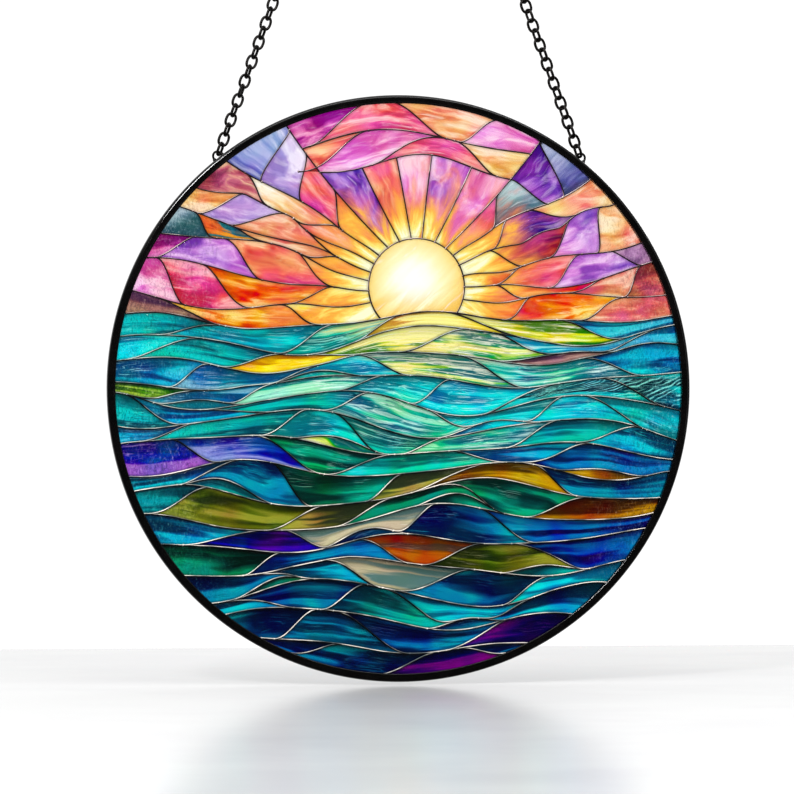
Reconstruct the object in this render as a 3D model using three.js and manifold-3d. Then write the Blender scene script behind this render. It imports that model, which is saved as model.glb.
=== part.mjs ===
// Round stained glass suncatcher: a leaded glass disc in a channel rim, hung by two runs
// of oval-link chain from one ring. Millimetres, +Z up. The origin is the inside top of
// the ring, where a hook bears. The disc stands in the XZ plane and its front faces -Y.
import * as THREE from 'three';
import { mergeVertices } from 'three/addons/utils/BufferGeometryUtils.js';
import Module from 'manifold-3d';

const wasm = await Module();
wasm.setup();

// ------------------------------------------------------------------ driving sizes
const RIM_R = 150;            // outer radius of the rim
const RIM_LIP_R = 145.5;       // inner radius of the rim's lips
const RIM_DEPTH = 7;          // front to back
const CHANNEL_R = 147.7;      // bottom of the channel that takes the glass
const CHANNEL_W = 4.9;        // channel, front to back
const RIM_SIDES = 48;
const LINE_TOL = 0.5;         // how closely a faceted line follows its curve
const GLASS_R = 146.5;        // edge of the glass panel
const GLASS_T = 3;            // glass thickness
const LEAD_T = 4.1;           // solder line, front to back
const LEAD_W = 1.0;           // width of a solder line
const FIT_GAP = 0.32;         // between a glass piece and the solder line
const RING_WIRE = 1.8, RING_IN_R = 5.5;
const LINK_WIRE = 1.2, LINK_PITCH = 5.25, LINK_W = 5.9, LINKS = 51;
const LINK_L = LINK_PITCH + 2 * LINK_WIRE;
const EYE_ANGLE = 38.3;       // from the vertical
const EYE_WIRE = 1.2, EYE_HALF = 2.4, EYE_RISE = 3.0, EYE_ROOT_R = 150.3;   // loop soldered to the rim
const SUN_X = 8.5, SUN_Z = 52, SUN_R = 24.7;

const { PI, sin, cos, sqrt, abs, min, max, hypot, exp } = Math;
const rad = (a) => (a * PI) / 180;
const lerp = (a, b, f) => a + (b - a) * f;
const smooth = (w) => { const c = max(0, min(1, w)); return c * c * (3 - 2 * c); };
function rng(seed) {
  let v = seed;
  return (a = 0, b = 1) => { v = (v * 16807) % 2147483647; return a + (b - a) * (v / 2147483647); };
}
function root(g, lo, hi) {
  const first = g(lo) > 0;
  for (let i = 0; i < 42; i++) { const m = (lo + hi) / 2; if ((g(m) > 0) === first) lo = m; else hi = m; }
  return (lo + hi) / 2;
}

// ------------------------------------------------------------------ the sea's wave lines
// Line 0 is the horizon. Each further line is a swell of its own length and phase, kept at
// least G_MIN below the one above it.
const ROWS = 14, Z_HORIZON = 36, Z_LAST = -131, G_MIN = 5;
const rowZ = (k) => { const f = k / ROWS; return Z_HORIZON + (Z_LAST - Z_HORIZON) * (0.86 * f + 0.14 * f * f); };
const softMin = (a, b, h) => { const d = max(h - abs(a - b), 0) / h; return min(a, b) - d * d * h * 0.25; };
function wave(k, x) {
  if (k === 0) return 36.2 + 2.3 * sin(x / 24 + 0.9) + 1.1 * sin(x / 11) - 3.6 * exp(-(((x + 66) / 46) ** 2));
  const a = 4.9 + 1.5 * sin(1.7 * k), l = 23.5 + 3.4 * sin(2.3 * k + 1);
  const z = rowZ(k) + a * sin(x / l + 0.78 * k) + 1.0 * sin(x / 12 + 2.1 * k) + 0.032 * x * sin(0.8 * k + 0.5);
  return softMin(z, wave(k - 1, x) - G_MIN, 3);
}
// crests: slim lenses that ride on a wave line [line, from x, to x, height]
const CRESTS = [[2, 50, 112, 6.0], [3, -66, -20, 5.4], [4, -126, -80, 5.4], [5, 20, 72, 6.0], [6, -56, -6, 5.8],
  [7, 80, 128, 5.4], [8, -112, -66, 6.0], [9, 8, 54, 5.6], [10, -40, 4, 5.2], [11, 52, 98, 5.6],
  [12, -84, -44, 5.4], [13, 14, 54, 5.4]]
  .map(([k, a, b, h]) => [k, a, b, min(h, 0.5 * (wave(k - 1, (a + b) / 2) - wave(k, (a + b) / 2)))]);
function crest(k, x) {
  let h = 0;
  for (const [kk, a, b, top] of CRESTS) if (kk === k && x > a && x < b) h = max(h, top * sin((PI * (x - a)) / (b - a)) ** 1.5);
  return h;
}

// ------------------------------------------------------------------ strips of glass
// A strip lies between two long lines. P(t, s) runs along it with t and across it with s.
// Its side lines t = f(w), s = smooth(w), leave one long line and join the other at a tangent.
const strips = [];
const sec = (a, b) => (w) => a + (b - a) * w;
const onCircle = (P, w, from, to) => root((t) => { const p = P(t, smooth(w)); return p[0] * p[0] + p[1] * p[1] - GLASS_R * GLASS_R; }, from, to);

const rnd = rng(4711);
for (let k = 0; k <= ROWS; k++) {
  const last = k === ROWS;
  const P = (t, s) => {
    const hi = wave(k, t), lo = last ? -sqrt(max(0, GLASS_R ** 2 - t * t)) : wave(k + 1, t) + crest(k + 1, t);
    return [t, lerp(lo, hi, s)];
  };
  let L, E;
  if (last) {
    const xl = root((x) => x * x + wave(k, x) ** 2 - GLASS_R ** 2, -GLASS_R, 0);
    const xr = root((x) => x * x + wave(k, x) ** 2 - GLASS_R ** 2, GLASS_R, 0);
    L = () => xl; E = () => xr;
  } else { L = (w) => onCircle(P, w, -GLASS_R, 0); E = (w) => onCircle(P, w, GLASS_R, 0); }
  const l0 = L(0), l1 = L(1), r0 = E(0), r1 = E(1), sides = [L];
  let pa = l0, pb = l1, up = rnd() < 0.5 ? 1 : -1, x = max(l0, l1) + rnd(16, 44);
  while (x < min(r0, r1) - 16) {
    const run = rnd(20, 42) * up;
    if (rnd() < 0.62) up = -up;
    let a = x - run / 2, b = x + run / 2;
    if (a < pa + 2) a = max(a, pa + rnd(2, 9));
    if (b < pb + 2) b = max(b, pb + rnd(2, 9));
    if (a > r0 - 4 || b > r1 - 4) break;
    sides.push(sec(a, b)); pa = a; pb = b;
    x += rnd(34, 62);
  }
  sides.push(E);
  strips.push({ name: `wave_${k + 1}`, P, sides, kind: 'sea' });
}
for (const [k, a, b] of CRESTS) strips.push({ name: `crest_${k}`, P: (t, s) => [t, wave(k, t) + s * crest(k, t)], sides: [sec(a, a), sec(b, b)], kind: 'sea' });

strips.push({ name: 'sun', P: (t, s) => { const c = sqrt(max(0, SUN_R ** 2 - (t - SUN_X) ** 2)); return [t, lerp(max(SUN_Z - c, wave(0, t)), SUN_Z + c, s)]; },
  sides: [sec(SUN_X - SUN_R, SUN_X - SUN_R), sec(SUN_X + SUN_R, SUN_X + SUN_R)], kind: 'sun' });

// lines that fan out of the sun: sun angle, rim angle, heading at the rim, reach, waviness
function fan(theta, phi, alpha, reach, wob, n, ph, lobes = 0) {
  const p0 = [SUN_X + SUN_R * 0.7 * cos(rad(theta)), SUN_Z + SUN_R * 0.7 * sin(rad(theta))];
  const p1 = [SUN_X + SUN_R * reach * cos(rad(theta)), SUN_Z + SUN_R * reach * sin(rad(theta))];
  const p3 = [GLASS_R * 1.05 * cos(rad(phi)), GLASS_R * 1.05 * sin(rad(phi))];
  const p2 = [p3[0] + 48 * cos(rad(alpha)), p3[1] + 48 * sin(rad(alpha))];
  return (t) => {
    const u = 1 - t, q = [0, 1].map((i) => u * u * u * p0[i] + 3 * u * u * t * p1[i] + 3 * u * t * t * p2[i] + t * t * t * p3[i]);
    const d = [0, 1].map((i) => 3 * (u * u * (p1[i] - p0[i]) + 2 * u * t * (p2[i] - p1[i]) + t * t * (p3[i] - p2[i])));
    const m = hypot(d[0], d[1]) || 1;
    let o = wob * sin(2 * PI * (n * t + ph)) * smooth((t - 0.12) / 0.3);
    if (lobes) o += lobes * smooth((t - 0.3) / 0.3) * (sqrt(sin(PI * (4.2 * t + ph)) ** 2 + 0.05) - 0.6);
    return [q[0] - (d[1] / m) * o, q[1] + (d[0] / m) * o];
  };
}
function ray(theta, phi, bend) {
  const p0 = [SUN_X + SUN_R * 0.7 * cos(rad(theta)), SUN_Z + SUN_R * 0.7 * sin(rad(theta))];
  const p2 = [GLASS_R * 1.05 * cos(rad(phi)), GLASS_R * 1.05 * sin(rad(phi))];
  const p1 = [(p0[0] + p2[0]) / 2 + bend, (p0[1] + p2[1]) / 2];
  return (t) => [0, 1].map((i) => (1 - t) ** 2 * p0[i] + 2 * t * (1 - t) * p1[i] + t * t * p2[i]);
}
const horizonL = (t) => { const x = lerp(SUN_X - SUN_R * 0.55, -GLASS_R * 1.03, t); return [x, wave(0, x)]; };
const horizonR = (t) => { const x = lerp(SUN_X + SUN_R * 0.55, GLASS_R * 1.03, t); return [x, wave(0, x)]; };
const leftLines = [horizonL, fan(200, 161.5, -8, 1.9, 2.6, 1.6, 0.15), fan(186, 155.5, 4, 1.9, 2.4, 1.3, 0.6),
  fan(174, 149.5, 12, 1.9, 2.6, 1.5, 0.05), fan(163, 143, -6, 2.0, 2.8, 1.2, 0.45), fan(152, 136.5, -14, 2.1, 2.4, 1.4, 0.8, 2.2),
  fan(140, 127.5, -40, 2.2, 2.4, 1.0, 0.2), ray(122, 114, -8)];
const rightLines = [horizonR, fan(-16, 18.5, 176, 1.9, 2.4, 1.5, 0.5), fan(0, 25, 196, 1.9, 2.4, 1.3, 0),
  fan(14, 31.5, 204, 1.9, 2.6, 1.4, 0.45), fan(27, 38.5, 196, 2.0, 2.4, 1.2, 0.15, 2.8), fan(41, 48, 222, 2.2, 2.4, 1.1, 0.7), ray(57, 60, 7)];
const between = (A, B) => (t, s) => { const a = A(t), b = B(t); return [lerp(a[0], b[0], s), lerp(a[1], b[1], s)]; };
const onRim = (P, s) => root((t) => hypot(...P(t, s)) - GLASS_R, 0.3, 1);
const onSun = (P, s) => root((t) => { const p = P(t, s); return hypot(p[0] - SUN_X, p[1] - SUN_Z) - SUN_R; }, 0, 0.35);
const LEFT_CUTS = [[[0.30, 0.16], [0.62, 0.86]], [[0.20, 0.36], [0.66, 0.50], [0.74, 0.90]], [[0.30, 0.18], [0.44, 0.66], [0.88, 0.74]],
  [[0.24, 0.42], [0.62, 0.52], [0.70, 0.86]], [[0.34, 0.22], [0.50, 0.70], [0.86, 0.78]], [[0.36, 0.52], [0.78, 0.66]],
  [[0.34, 0.50], [0.66, 0.60], [0.84, 0.74]]];
const RIGHT_CUTS = [[[0.28, 0.16], [0.52, 0.74]], [[0.22, 0.38], [0.72, 0.58], [0.80, 0.92]], [[0.30, 0.20], [0.46, 0.68], [0.88, 0.80]],
  [[0.26, 0.42], [0.64, 0.52], [0.72, 0.88]], [[0.38, 0.26], [0.56, 0.74]], [[0.34, 0.48], [0.70, 0.60], [0.78, 0.90]]];
for (const [side, lines, cuts] of [['left', leftLines, LEFT_CUTS], ['right', rightLines, RIGHT_CUTS]]) {
  for (let j = 0; j < lines.length - 1; j++) {
    const P = between(lines[j], lines[j + 1]);
    strips.push({ name: `sky_${side}_${j + 1}`, P, kind: 'sky',
      sides: [(w) => onSun(P, smooth(w)), ...cuts[j].map(([a, b]) => sec(a, b)), (w) => onRim(P, smooth(w))] });
  }
}

// rays over the sun, ended by a garland line, with two bands of glass above it
const garland = (x) => 116.5 + 3.4 * sin(x / 13 + 0.6) - 0.0018 * (x - 4) ** 2 * 1.2;
const crown = (x) => 130 + 2.6 * sin(x / 17 + 2.2) - 0.0022 * (x - 2) ** 2;
const XL = leftLines[leftLines.length - 1], XR = rightLines[rightLines.length - 1];
const RAYS = [[107, 103.5, -3], [95.5, 93.5, 1.5], [83, 82, -1.5], [70.5, 71, 3.5]];
const rayLines = [XL, ...RAYS.map((r) => ray(...r)), XR];
for (let j = 0; j < rayLines.length - 1; j++) {
  const P = between(rayLines[j], rayLines[j + 1]);
  const end = (w) => root((t) => { const p = P(t, smooth(w)); return p[1] - garland(p[0]); }, 0.2, 1);
  strips.push({ name: `ray_${j + 1}`, P, kind: 'ray', sides: [(w) => onSun(P, smooth(w)), end] });
}
const sideX = (line, x, z) => x - line(root((t) => line(t)[1] - z, 0, 1))[0];
for (const [name, P, cuts] of [
  ['garland', (t, s) => [t, lerp(garland(t), crown(t), s)], [[-26, -44], [-8, 12], [34, 20]]],
  ['crown', (t, s) => [t, lerp(crown(t), sqrt(max(0, GLASS_R ** 2 - t * t)), s)], [[-34, -20], [16, 0], [24, 44]]]]) {
  strips.push({ name, P, kind: 'crown', sides: [
    (w) => root((x) => sideX(XL, x, P(x, smooth(w))[1]), -100, 0), ...cuts.map(([a, b]) => sec(a, b)),
    (w) => root((x) => sideX(XR, x, P(x, smooth(w))[1]), 100, 0)] });
}

// ------------------------------------------------------------------ outlines and lines
// The leading holds the long lines. The glass of one strip, whose pieces are soldered edge to
// edge, is one solid.
function outline(st, i, n = 20) {
  const [f0, f1] = [st.sides[i], st.sides[i + 1]], pts = [];
  for (let j = 0; j <= n; j++) pts.push(st.P(lerp(f0(0), f1(0), j / n), 0));
  for (let j = 1; j <= n; j++) pts.push(st.P(f1(j / n), smooth(j / n)));
  for (let j = 1; j <= n; j++) pts.push(st.P(lerp(f0(1), f1(1), 1 - j / n), 1));
  for (let j = 1; j < n; j++) pts.push(st.P(f0(1 - j / n), smooth(1 - j / n)));
  return pts;
}
// keep only the points that a line needs to stay within tol of its curve
function thin(pts, tol) {
  const keep = new Array(pts.length).fill(false); keep[0] = keep[pts.length - 1] = true;
  const stack = [[0, pts.length - 1]];
  while (stack.length) {
    const [i, j] = stack.pop();
    const dx = pts[j][0] - pts[i][0], dz = pts[j][1] - pts[i][1], m = hypot(dx, dz) || 1;
    let worst = tol, at = -1;
    for (let n = i + 1; n < j; n++) {
      const e = abs((pts[n][0] - pts[i][0]) * dz - (pts[n][1] - pts[i][1]) * dx) / m;
      if (e > worst) { worst = e; at = n; }
    }
    if (at > 0) { keep[at] = true; stack.push([i, at], [at, j]); }
  }
  return pts.filter((_, i) => keep[i]);
}
const sample = (f, a, b, n) => Array.from({ length: n + 1 }, (_, i) => f(lerp(a, b, i / n)));
const bands = strips.map((st) => ({ name: st.name, kind: st.kind, cells: st.sides.slice(1).map((_, i) => outline(st, i)) }));
const lines = [];
for (let k = 0; k <= ROWS; k++) {
  const g = (x) => x * x + wave(k, x) ** 2 - (GLASS_R + 0.2) ** 2;
  lines.push(sample((x) => [x, wave(k, x)], root(g, -GLASS_R - 1, 0), root(g, GLASS_R + 1, 0), 160));
}
for (const [k, a, b] of CRESTS) lines.push(sample((x) => [x, wave(k, x) + crest(k, x)], a, b, 40));
for (const set of [leftLines.slice(1), rightLines.slice(1)]) {
  for (const f of set) {
    const a = root((t) => hypot(f(t)[0] - SUN_X, f(t)[1] - SUN_Z) - SUN_R, 0, 0.4), b = root((t) => hypot(...f(t)) - GLASS_R, 0.3, 1);
    lines.push(sample(f, a, b, 60));
  }
}
for (const f of rayLines.slice(1, -1)) {
  const a = root((t) => hypot(f(t)[0] - SUN_X, f(t)[1] - SUN_Z) - SUN_R, 0, 0.4), b = root((t) => f(t)[1] - garland(f(t)[0]), 0.2, 1);
  lines.push(sample(f, a, b, 30));
}
for (const h of [garland, crown]) {
  const a = root((x) => sideX(XL, x, h(x)), -100, 0), b = root((x) => sideX(XR, x, h(x)), 100, 0);
  lines.push(sample((x) => [x, h(x)], a, b, 60));
}
{ // the part of the sun's circle above the horizon
  const g = (a) => SUN_Z + SUN_R * sin(a) - wave(0, SUN_X + SUN_R * cos(a));
  const a0 = root(g, rad(-80), rad(20)), a1 = root(g, rad(260), rad(160));
  lines.push(sample((a) => [SUN_X + SUN_R * cos(a), SUN_Z + SUN_R * sin(a)], a0, a1, 40));
}

// ------------------------------------------------------------------ solids
function toManifold(geometry) {
  const g = geometry.clone();
  g.deleteAttribute('normal'); g.deleteAttribute('uv');
  const m = mergeVertices(g, 1e-5);
  return new wasm.Manifold(new wasm.Mesh({ numProp: 3, vertProperties: new Float32Array(m.attributes.position.array), triVerts: new Uint32Array(m.index.array) }));
}
function toGeometry(solid) {
  const m = solid.getMesh(), g = new THREE.BufferGeometry();
  g.setAttribute('position', new THREE.BufferAttribute(new Float32Array(m.vertProperties), 3));
  g.setIndex(new THREE.BufferAttribute(new Uint32Array(m.triVerts), 1));
  g.computeVertexNormals();
  return g;
}
// a flat outline in x and z, thickened evenly to both sides of the XZ plane
function slab(pts, depth, hole) {
  const shape = new THREE.Shape(pts.map((p) => new THREE.Vector2(p[0], p[1])));
  if (hole) shape.holes.push(new THREE.Path(hole.map((p) => new THREE.Vector2(p[0], p[1]))));
  const g = new THREE.ExtrudeGeometry(shape, { depth, bevelEnabled: false, steps: 1 });
  g.rotateX(PI / 2); g.translate(0, depth / 2, 0);
  return g;
}
function ribbon(line, half) {
  const n = line.length, L = [], Rr = [];
  for (let i = 0; i < n; i++) {
    const a = line[max(0, i - 1)], b = line[min(n - 1, i + 1)], p = line[i];
    const d1 = [p[0] - a[0], p[1] - a[1]], d2 = [b[0] - p[0], b[1] - p[1]];
    const u = (d) => { const m = hypot(...d); return m > 1e-9 ? [d[0] / m, d[1] / m] : null; };
    const u1 = u(d1) || u(d2), u2 = u(d2) || u(d1);
    let nx = -(u1[1] + u2[1]), nz = u1[0] + u2[0]; const m = hypot(nx, nz); nx /= m; nz /= m;
    const k = half / max(0.7, nx * -u1[1] + nz * u1[0]);
    L.push([p[0] + nx * k, p[1] + nz * k]); Rr.push([p[0] - nx * k, p[1] - nz * k]);
  }
  return [...L, ...Rr.reverse()];
}
const circle = (r, n, turn = 0) => Array.from({ length: n }, (_, i) => [r * cos((2 * PI * (i + turn)) / n), r * sin((2 * PI * (i + turn)) / n)]);
const thinned = lines.map((l) => thin(l, LINE_TOL));
const union = (list) => { let a = list; while (a.length > 1) { const b = []; for (let i = 0; i < a.length; i += 2) b.push(i + 1 < a.length ? a[i].add(a[i + 1]) : a[i]); a = b; } return a[0]; };
const outerRing = (half, depth) => slab(circle(GLASS_R + half, RIM_SIDES), depth, circle(GLASS_R - half, RIM_SIDES));
const linesSolid = (half, depth) => union([...thinned.map((l) => toManifold(slab(ribbon(l, half), depth))), toManifold(outerRing(half, depth))]);

const disc = (depth) => toManifold(slab(circle(GLASS_R + 0.2, RIM_SIDES), depth));
let web = linesSolid(LEAD_W / 2, LEAD_T);
// specks of daylight where two lines run together are filled with solder
const specks = disc(LEAD_T).subtract(web).decompose().filter((s) => s.volume() / LEAD_T < 6);
if (specks.length) web = web.add(union(specks));
web = web.asOriginal().simplify(0.12);

const pieces = disc(GLASS_T).subtract(linesSolid(LEAD_W / 2 + FIT_GAP, GLASS_T + 2)).decompose()
  .map((s) => s.asOriginal().simplify(0.12)).filter((s) => s.volume() / GLASS_T > 20);
const inside = (p, poly) => {
  let hit = false;
  for (let i = 0, j = poly.length - 1; i < poly.length; j = i++) {
    const [a, b] = [poly[i], poly[j]];
    if ((a[1] > p[1]) !== (b[1] > p[1]) && p[0] < ((b[0] - a[0]) * (p[1] - a[1])) / (b[1] - a[1]) + a[0]) hit = !hit;
  }
  return hit;
};
for (const s of pieces) {
  const m = s.getMesh(), votes = new Map();
  for (let t = 0; t < m.triVerts.length; t += 3) {
    const v = [0, 1, 2].map((i) => { const o = m.triVerts[t + i] * m.numProp; return [m.vertProperties[o], m.vertProperties[o + 1], m.vertProperties[o + 2]]; });
    if (!v.every((p) => p[1] > GLASS_T / 2 - 0.01)) continue;
    const c = [(v[0][0] + v[1][0] + v[2][0]) / 3, (v[0][2] + v[1][2] + v[2][2]) / 3];
    const area = abs((v[1][0] - v[0][0]) * (v[2][2] - v[0][2]) - (v[2][0] - v[0][0]) * (v[1][2] - v[0][2])) / 2;
    const cell = bands.find((q) => q.cells.some((poly) => inside(c, poly)));
    if (cell) votes.set(cell, (votes.get(cell) || 0) + area);
  }
  s.cell = [...votes.entries()].sort((a, b) => b[1] - a[1])[0]?.[0];
}

// ------------------------------------------------------------------ rim
const PANEL = new THREE.Vector3();      // middle of the disc, set below
const rimProfile = [[RIM_LIP_R, -RIM_DEPTH / 2], [RIM_R, -RIM_DEPTH / 2], [RIM_R, RIM_DEPTH / 2],
  [RIM_LIP_R, RIM_DEPTH / 2], [RIM_LIP_R, CHANNEL_W / 2], [CHANNEL_R, CHANNEL_W / 2], [CHANNEL_R, -CHANNEL_W / 2], [RIM_LIP_R, -CHANNEL_W / 2]];
const rimGeo = new THREE.LatheGeometry([...rimProfile, rimProfile[0]].map((p) => new THREE.Vector2(p[0], p[1])), RIM_SIDES);

// ------------------------------------------------------------------ chain, eyes, ring
const ringR = RING_IN_R + RING_WIRE / 2;
const ringBar = ringR - RING_WIRE / 2 - LINK_WIRE / 2 - FIT_GAP;   // ring centre to the first link's bar
const barGap = EYE_WIRE / 2 + LINK_WIRE / 2 + FIT_GAP;
const runLength = (LINKS - 1) * LINK_PITCH + LINK_L - LINK_WIRE + ringBar;
// where the chain bears in the eye, for a chain that leans in by the angle lean
function bearing(lean) {
  const rd = [-sin(rad(EYE_ANGLE)), cos(rad(EYE_ANGLE))], tg = [cos(rad(EYE_ANGLE)), sin(rad(EYE_ANGLE))];
  const u = [sin(lean), cos(lean)];
  const ur = u[0] * rd[0] + u[1] * rd[1], ut = u[0] * tg[0] + u[1] * tg[1];
  const phi = Math.atan2(ur * EYE_RISE, ut * EYE_HALF);
  const a = EYE_HALF * cos(phi), b = EYE_ROOT_R - 0.3 + EYE_RISE * sin(phi);
  return [rd[0] * b + tg[0] * a - u[0] * barGap, rd[1] * b + tg[1] * a - u[1] * barGap];
}
let lean = rad(20);
for (let i = 0; i < 12; i++) lean = Math.asin(-bearing(lean)[0] / runLength);
const foot = bearing(lean);
const ringAbovePanel = foot[1] + runLength * cos(lean);
PANEL.set(0, 0, -RING_IN_R - ringAbovePanel);

class Polyline3 extends THREE.Curve {
  constructor(pts) { super(); this.pts = pts; }
  getPoint(t, out = new THREE.Vector3()) {
    const f = min(t, 1) * (this.pts.length - 1), i = min(Math.floor(f), this.pts.length - 2);
    return out.lerpVectors(this.pts[i], this.pts[i + 1], f - i);
  }
}
const V = (x, y, z) => new THREE.Vector3(x, y, z);
// a closed loop of wire: each corner is mitred, so the section keeps its size on the sides
function loop(path, section, normal) {
  const pos = [], idx = [], n = path.length, m = section.length;
  for (let i = 0; i < n; i++) {
    const a = path[(i + n - 1) % n], p = path[i], b = path[(i + 1) % n];
    const u1 = p.clone().sub(a).normalize(), u2 = b.clone().sub(p).normalize();
    const o1 = u1.clone().cross(normal), o2 = u2.clone().cross(normal);
    const o = o1.clone().add(o2).normalize(); o.multiplyScalar(1 / max(0.5, o.dot(o1)));
    for (const [s, h] of section) { const q = p.clone().addScaledVector(o, s).addScaledVector(normal, h); pos.push(q.x, q.y, q.z); }
  }
  for (let i = 0; i < n; i++) for (let j = 0; j < m; j++) {
    const a = i * m + j, b = i * m + ((j + 1) % m), c = ((i + 1) % n) * m + j, d = ((i + 1) % n) * m + ((j + 1) % m);
    idx.push(a, b, c, b, d, c);
  }
  const g = new THREE.BufferGeometry();
  g.setAttribute('position', new THREE.BufferAttribute(new Float32Array(pos), 3)); g.setIndex(idx);
  return g;
}
function outward(g) {   // turn the faces out if the loop was wound the other way
  const s = toManifold(g); if (s.volume() > 0) return s;
  const i = g.index.array; for (let k = 0; k < i.length; k += 3) { const t = i[k]; i[k] = i[k + 1]; i[k + 1] = t; }
  return toManifold(g);
}
// one oval link as a four-cornered loop of three-sided wire, in the plane of along and side
function link(centre, along, side) {
  const w = (LINK_W - LINK_WIRE) / 2, l = (LINK_L - LINK_WIRE) / 2, h = LINK_WIRE / 2 + 0.06;
  const at = (a, b) => centre.clone().addScaledVector(along, a).addScaledVector(side, b);
  const path = [at(-l, -w), at(-l, w), at(l, w), at(l, -w)];
  return outward(loop(path, [[h, 0], [-h, h], [-h, -h]], along.clone().cross(side).normalize()));
}
function chainRun(mirror) {
  const top = V(0, 0, -RING_IN_R), dir = V(-sin(lean) * mirror, 0, -cos(lean));
  const side0 = V(0, 1, 0), side1 = dir.clone().cross(side0).normalize();
  const links = [];
  for (let i = 0; i < LINKS; i++) {
    const c = top.clone().addScaledVector(dir, ringBar + (LINK_L - LINK_WIRE) / 2 + i * LINK_PITCH);
    links.push(link(c, dir, i % 2 ? side1 : side0));
  }
  return union(links).asOriginal().simplify(0.01);
}
function eye(mirror) {
  const rd = V(-sin(rad(EYE_ANGLE)) * mirror, 0, cos(rad(EYE_ANGLE))), tg = V(cos(rad(EYE_ANGLE)) * mirror, 0, sin(rad(EYE_ANGLE)));
  const pts = [];
  for (let i = 0; i <= 8; i++) {
    const a = (PI * i) / 8;
    pts.push(V(0, 0, 0).addScaledVector(rd, EYE_ROOT_R + EYE_RISE * sin(a)).addScaledVector(tg, EYE_HALF * cos(a)).add(PANEL));
  }
  const r = EYE_WIRE / 2, sect = new THREE.Shape(Array.from({ length: 6 }, (_, i) => new THREE.Vector2(r * cos((PI * i) / 3), r * sin((PI * i) / 3))));
  return new THREE.ExtrudeGeometry(sect, { steps: 8, bevelEnabled: false, extrudePath: new Polyline3(pts) });
}
const ringSection = Array.from({ length: 6 }, (_, i) => [(RING_WIRE / 2) * cos((PI * (i + 0.5)) / 3), (RING_WIRE / 2) * sin((PI * (i + 0.5)) / 3)]);
const ringSolid = outward(loop(circle(ringR, 16, 0.5).map(([x, z]) => V(x, 0, z - RING_IN_R)), ringSection, V(0, 1, 0)));

// ------------------------------------------------------------------ the scene graph
const mat = (color, roughness, metalness) => new THREE.MeshStandardMaterial({ color, roughness, metalness });
const part = new THREE.Group();
function put(name, geometry, material, at) {
  const m = new THREE.Mesh(geometry, material); m.name = name; if (at) m.position.copy(at); part.add(m); return m;
}
put('hanging_ring', toGeometry(ringSolid), mat(0x2a2521, 0.35, 0.9));
put('chain_left', toGeometry(chainRun(1)), mat(0x2a2521, 0.35, 0.9));
put('chain_right', toGeometry(chainRun(-1)), mat(0x2a2521, 0.35, 0.9));
put('eye_left', eye(1), mat(0x2a2521, 0.35, 0.9));
put('eye_right', eye(-1), mat(0x2a2521, 0.35, 0.9));
put('rim', rimGeo, mat(0x101010, 0.25, 0.6), PANEL);
put('leading', toGeometry(web), mat(0x55504a, 0.4, 0.9), PANEL);
const GLASS_COLOURS = { sun: [0xffe9a0], ray: [0xf39a4a, 0xf5b04e, 0xe8788c], crown: [0xe66aa0, 0xf0b48c, 0xd870b0],
  sky: [0xd86ab4, 0xe88a50, 0xb070c8, 0xf0a878, 0xc85a8c], sea: [0x1fa8a8, 0x2f8fb8, 0x23b8a0, 0x2a5fa0, 0x3a3f98] };
const own = pieces.filter((s) => s.cell);
own.sort((a, b) => (a.cell.name < b.cell.name ? -1 : 1));
own.forEach((s, i) => {
  const c = GLASS_COLOURS[s.cell.kind];
  put(`glass_${s.cell.name}`, toGeometry(s), mat(c[i % c.length], 0.12, 0), PANEL);
});
export default part;
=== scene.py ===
import bpy
from math import sin, cos, tan, pi, sqrt, hypot, exp, asin, atan, atan2, radians
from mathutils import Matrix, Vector, noise


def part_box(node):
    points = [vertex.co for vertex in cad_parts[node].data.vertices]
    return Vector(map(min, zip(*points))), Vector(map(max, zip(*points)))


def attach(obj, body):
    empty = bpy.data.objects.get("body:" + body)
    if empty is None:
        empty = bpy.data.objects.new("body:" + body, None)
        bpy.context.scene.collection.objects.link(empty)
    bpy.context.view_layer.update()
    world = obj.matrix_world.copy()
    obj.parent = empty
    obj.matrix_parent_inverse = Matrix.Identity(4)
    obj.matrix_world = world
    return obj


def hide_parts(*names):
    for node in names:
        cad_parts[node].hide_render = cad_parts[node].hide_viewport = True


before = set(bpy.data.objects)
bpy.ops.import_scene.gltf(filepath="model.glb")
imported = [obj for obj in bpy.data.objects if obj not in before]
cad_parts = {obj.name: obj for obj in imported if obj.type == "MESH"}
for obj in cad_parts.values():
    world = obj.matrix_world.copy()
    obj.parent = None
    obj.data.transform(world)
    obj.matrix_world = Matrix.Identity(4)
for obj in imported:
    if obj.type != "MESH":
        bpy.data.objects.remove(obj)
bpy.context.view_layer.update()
MM = 0.001

# ------------------------------------------------------------------ places taken from the frame
_lo, _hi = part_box("rim")
PANEL = (Vector(_lo) + Vector(_hi)) / 2            # middle of the disc
_lo, _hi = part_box("hanging_ring")
RING_C = (Vector(_lo) + Vector(_hi)) / 2           # middle of the ring

# ------------------------------------------------------------------ camera and light
scene = bpy.context.scene
scene.view_settings.view_transform = "Standard"

YAW, DIST = radians(-6.8), 2.6
SPAN = 0.4058                                      # what the picture's width takes in at the disc
cam_data = bpy.data.cameras.new("camera")
cam = bpy.data.objects.new("camera", cam_data)
scene.collection.objects.link(cam)
cam_data.sensor_width = 36
cam_data.lens = 36 * DIST / SPAN
cam_data.dof.use_dof = False
back = Vector((sin(YAW), -cos(YAW), 0))
aim = PANEL + Vector((-0.00143, 0, -0.00433))
cam.location = aim + back * DIST
cam.rotation_mode = "QUATERNION"
cam.rotation_quaternion = (-back).to_track_quat("-Z", "Y")
cam_data.clip_start, cam_data.clip_end = 0.01, 50
scene.camera = cam

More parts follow.
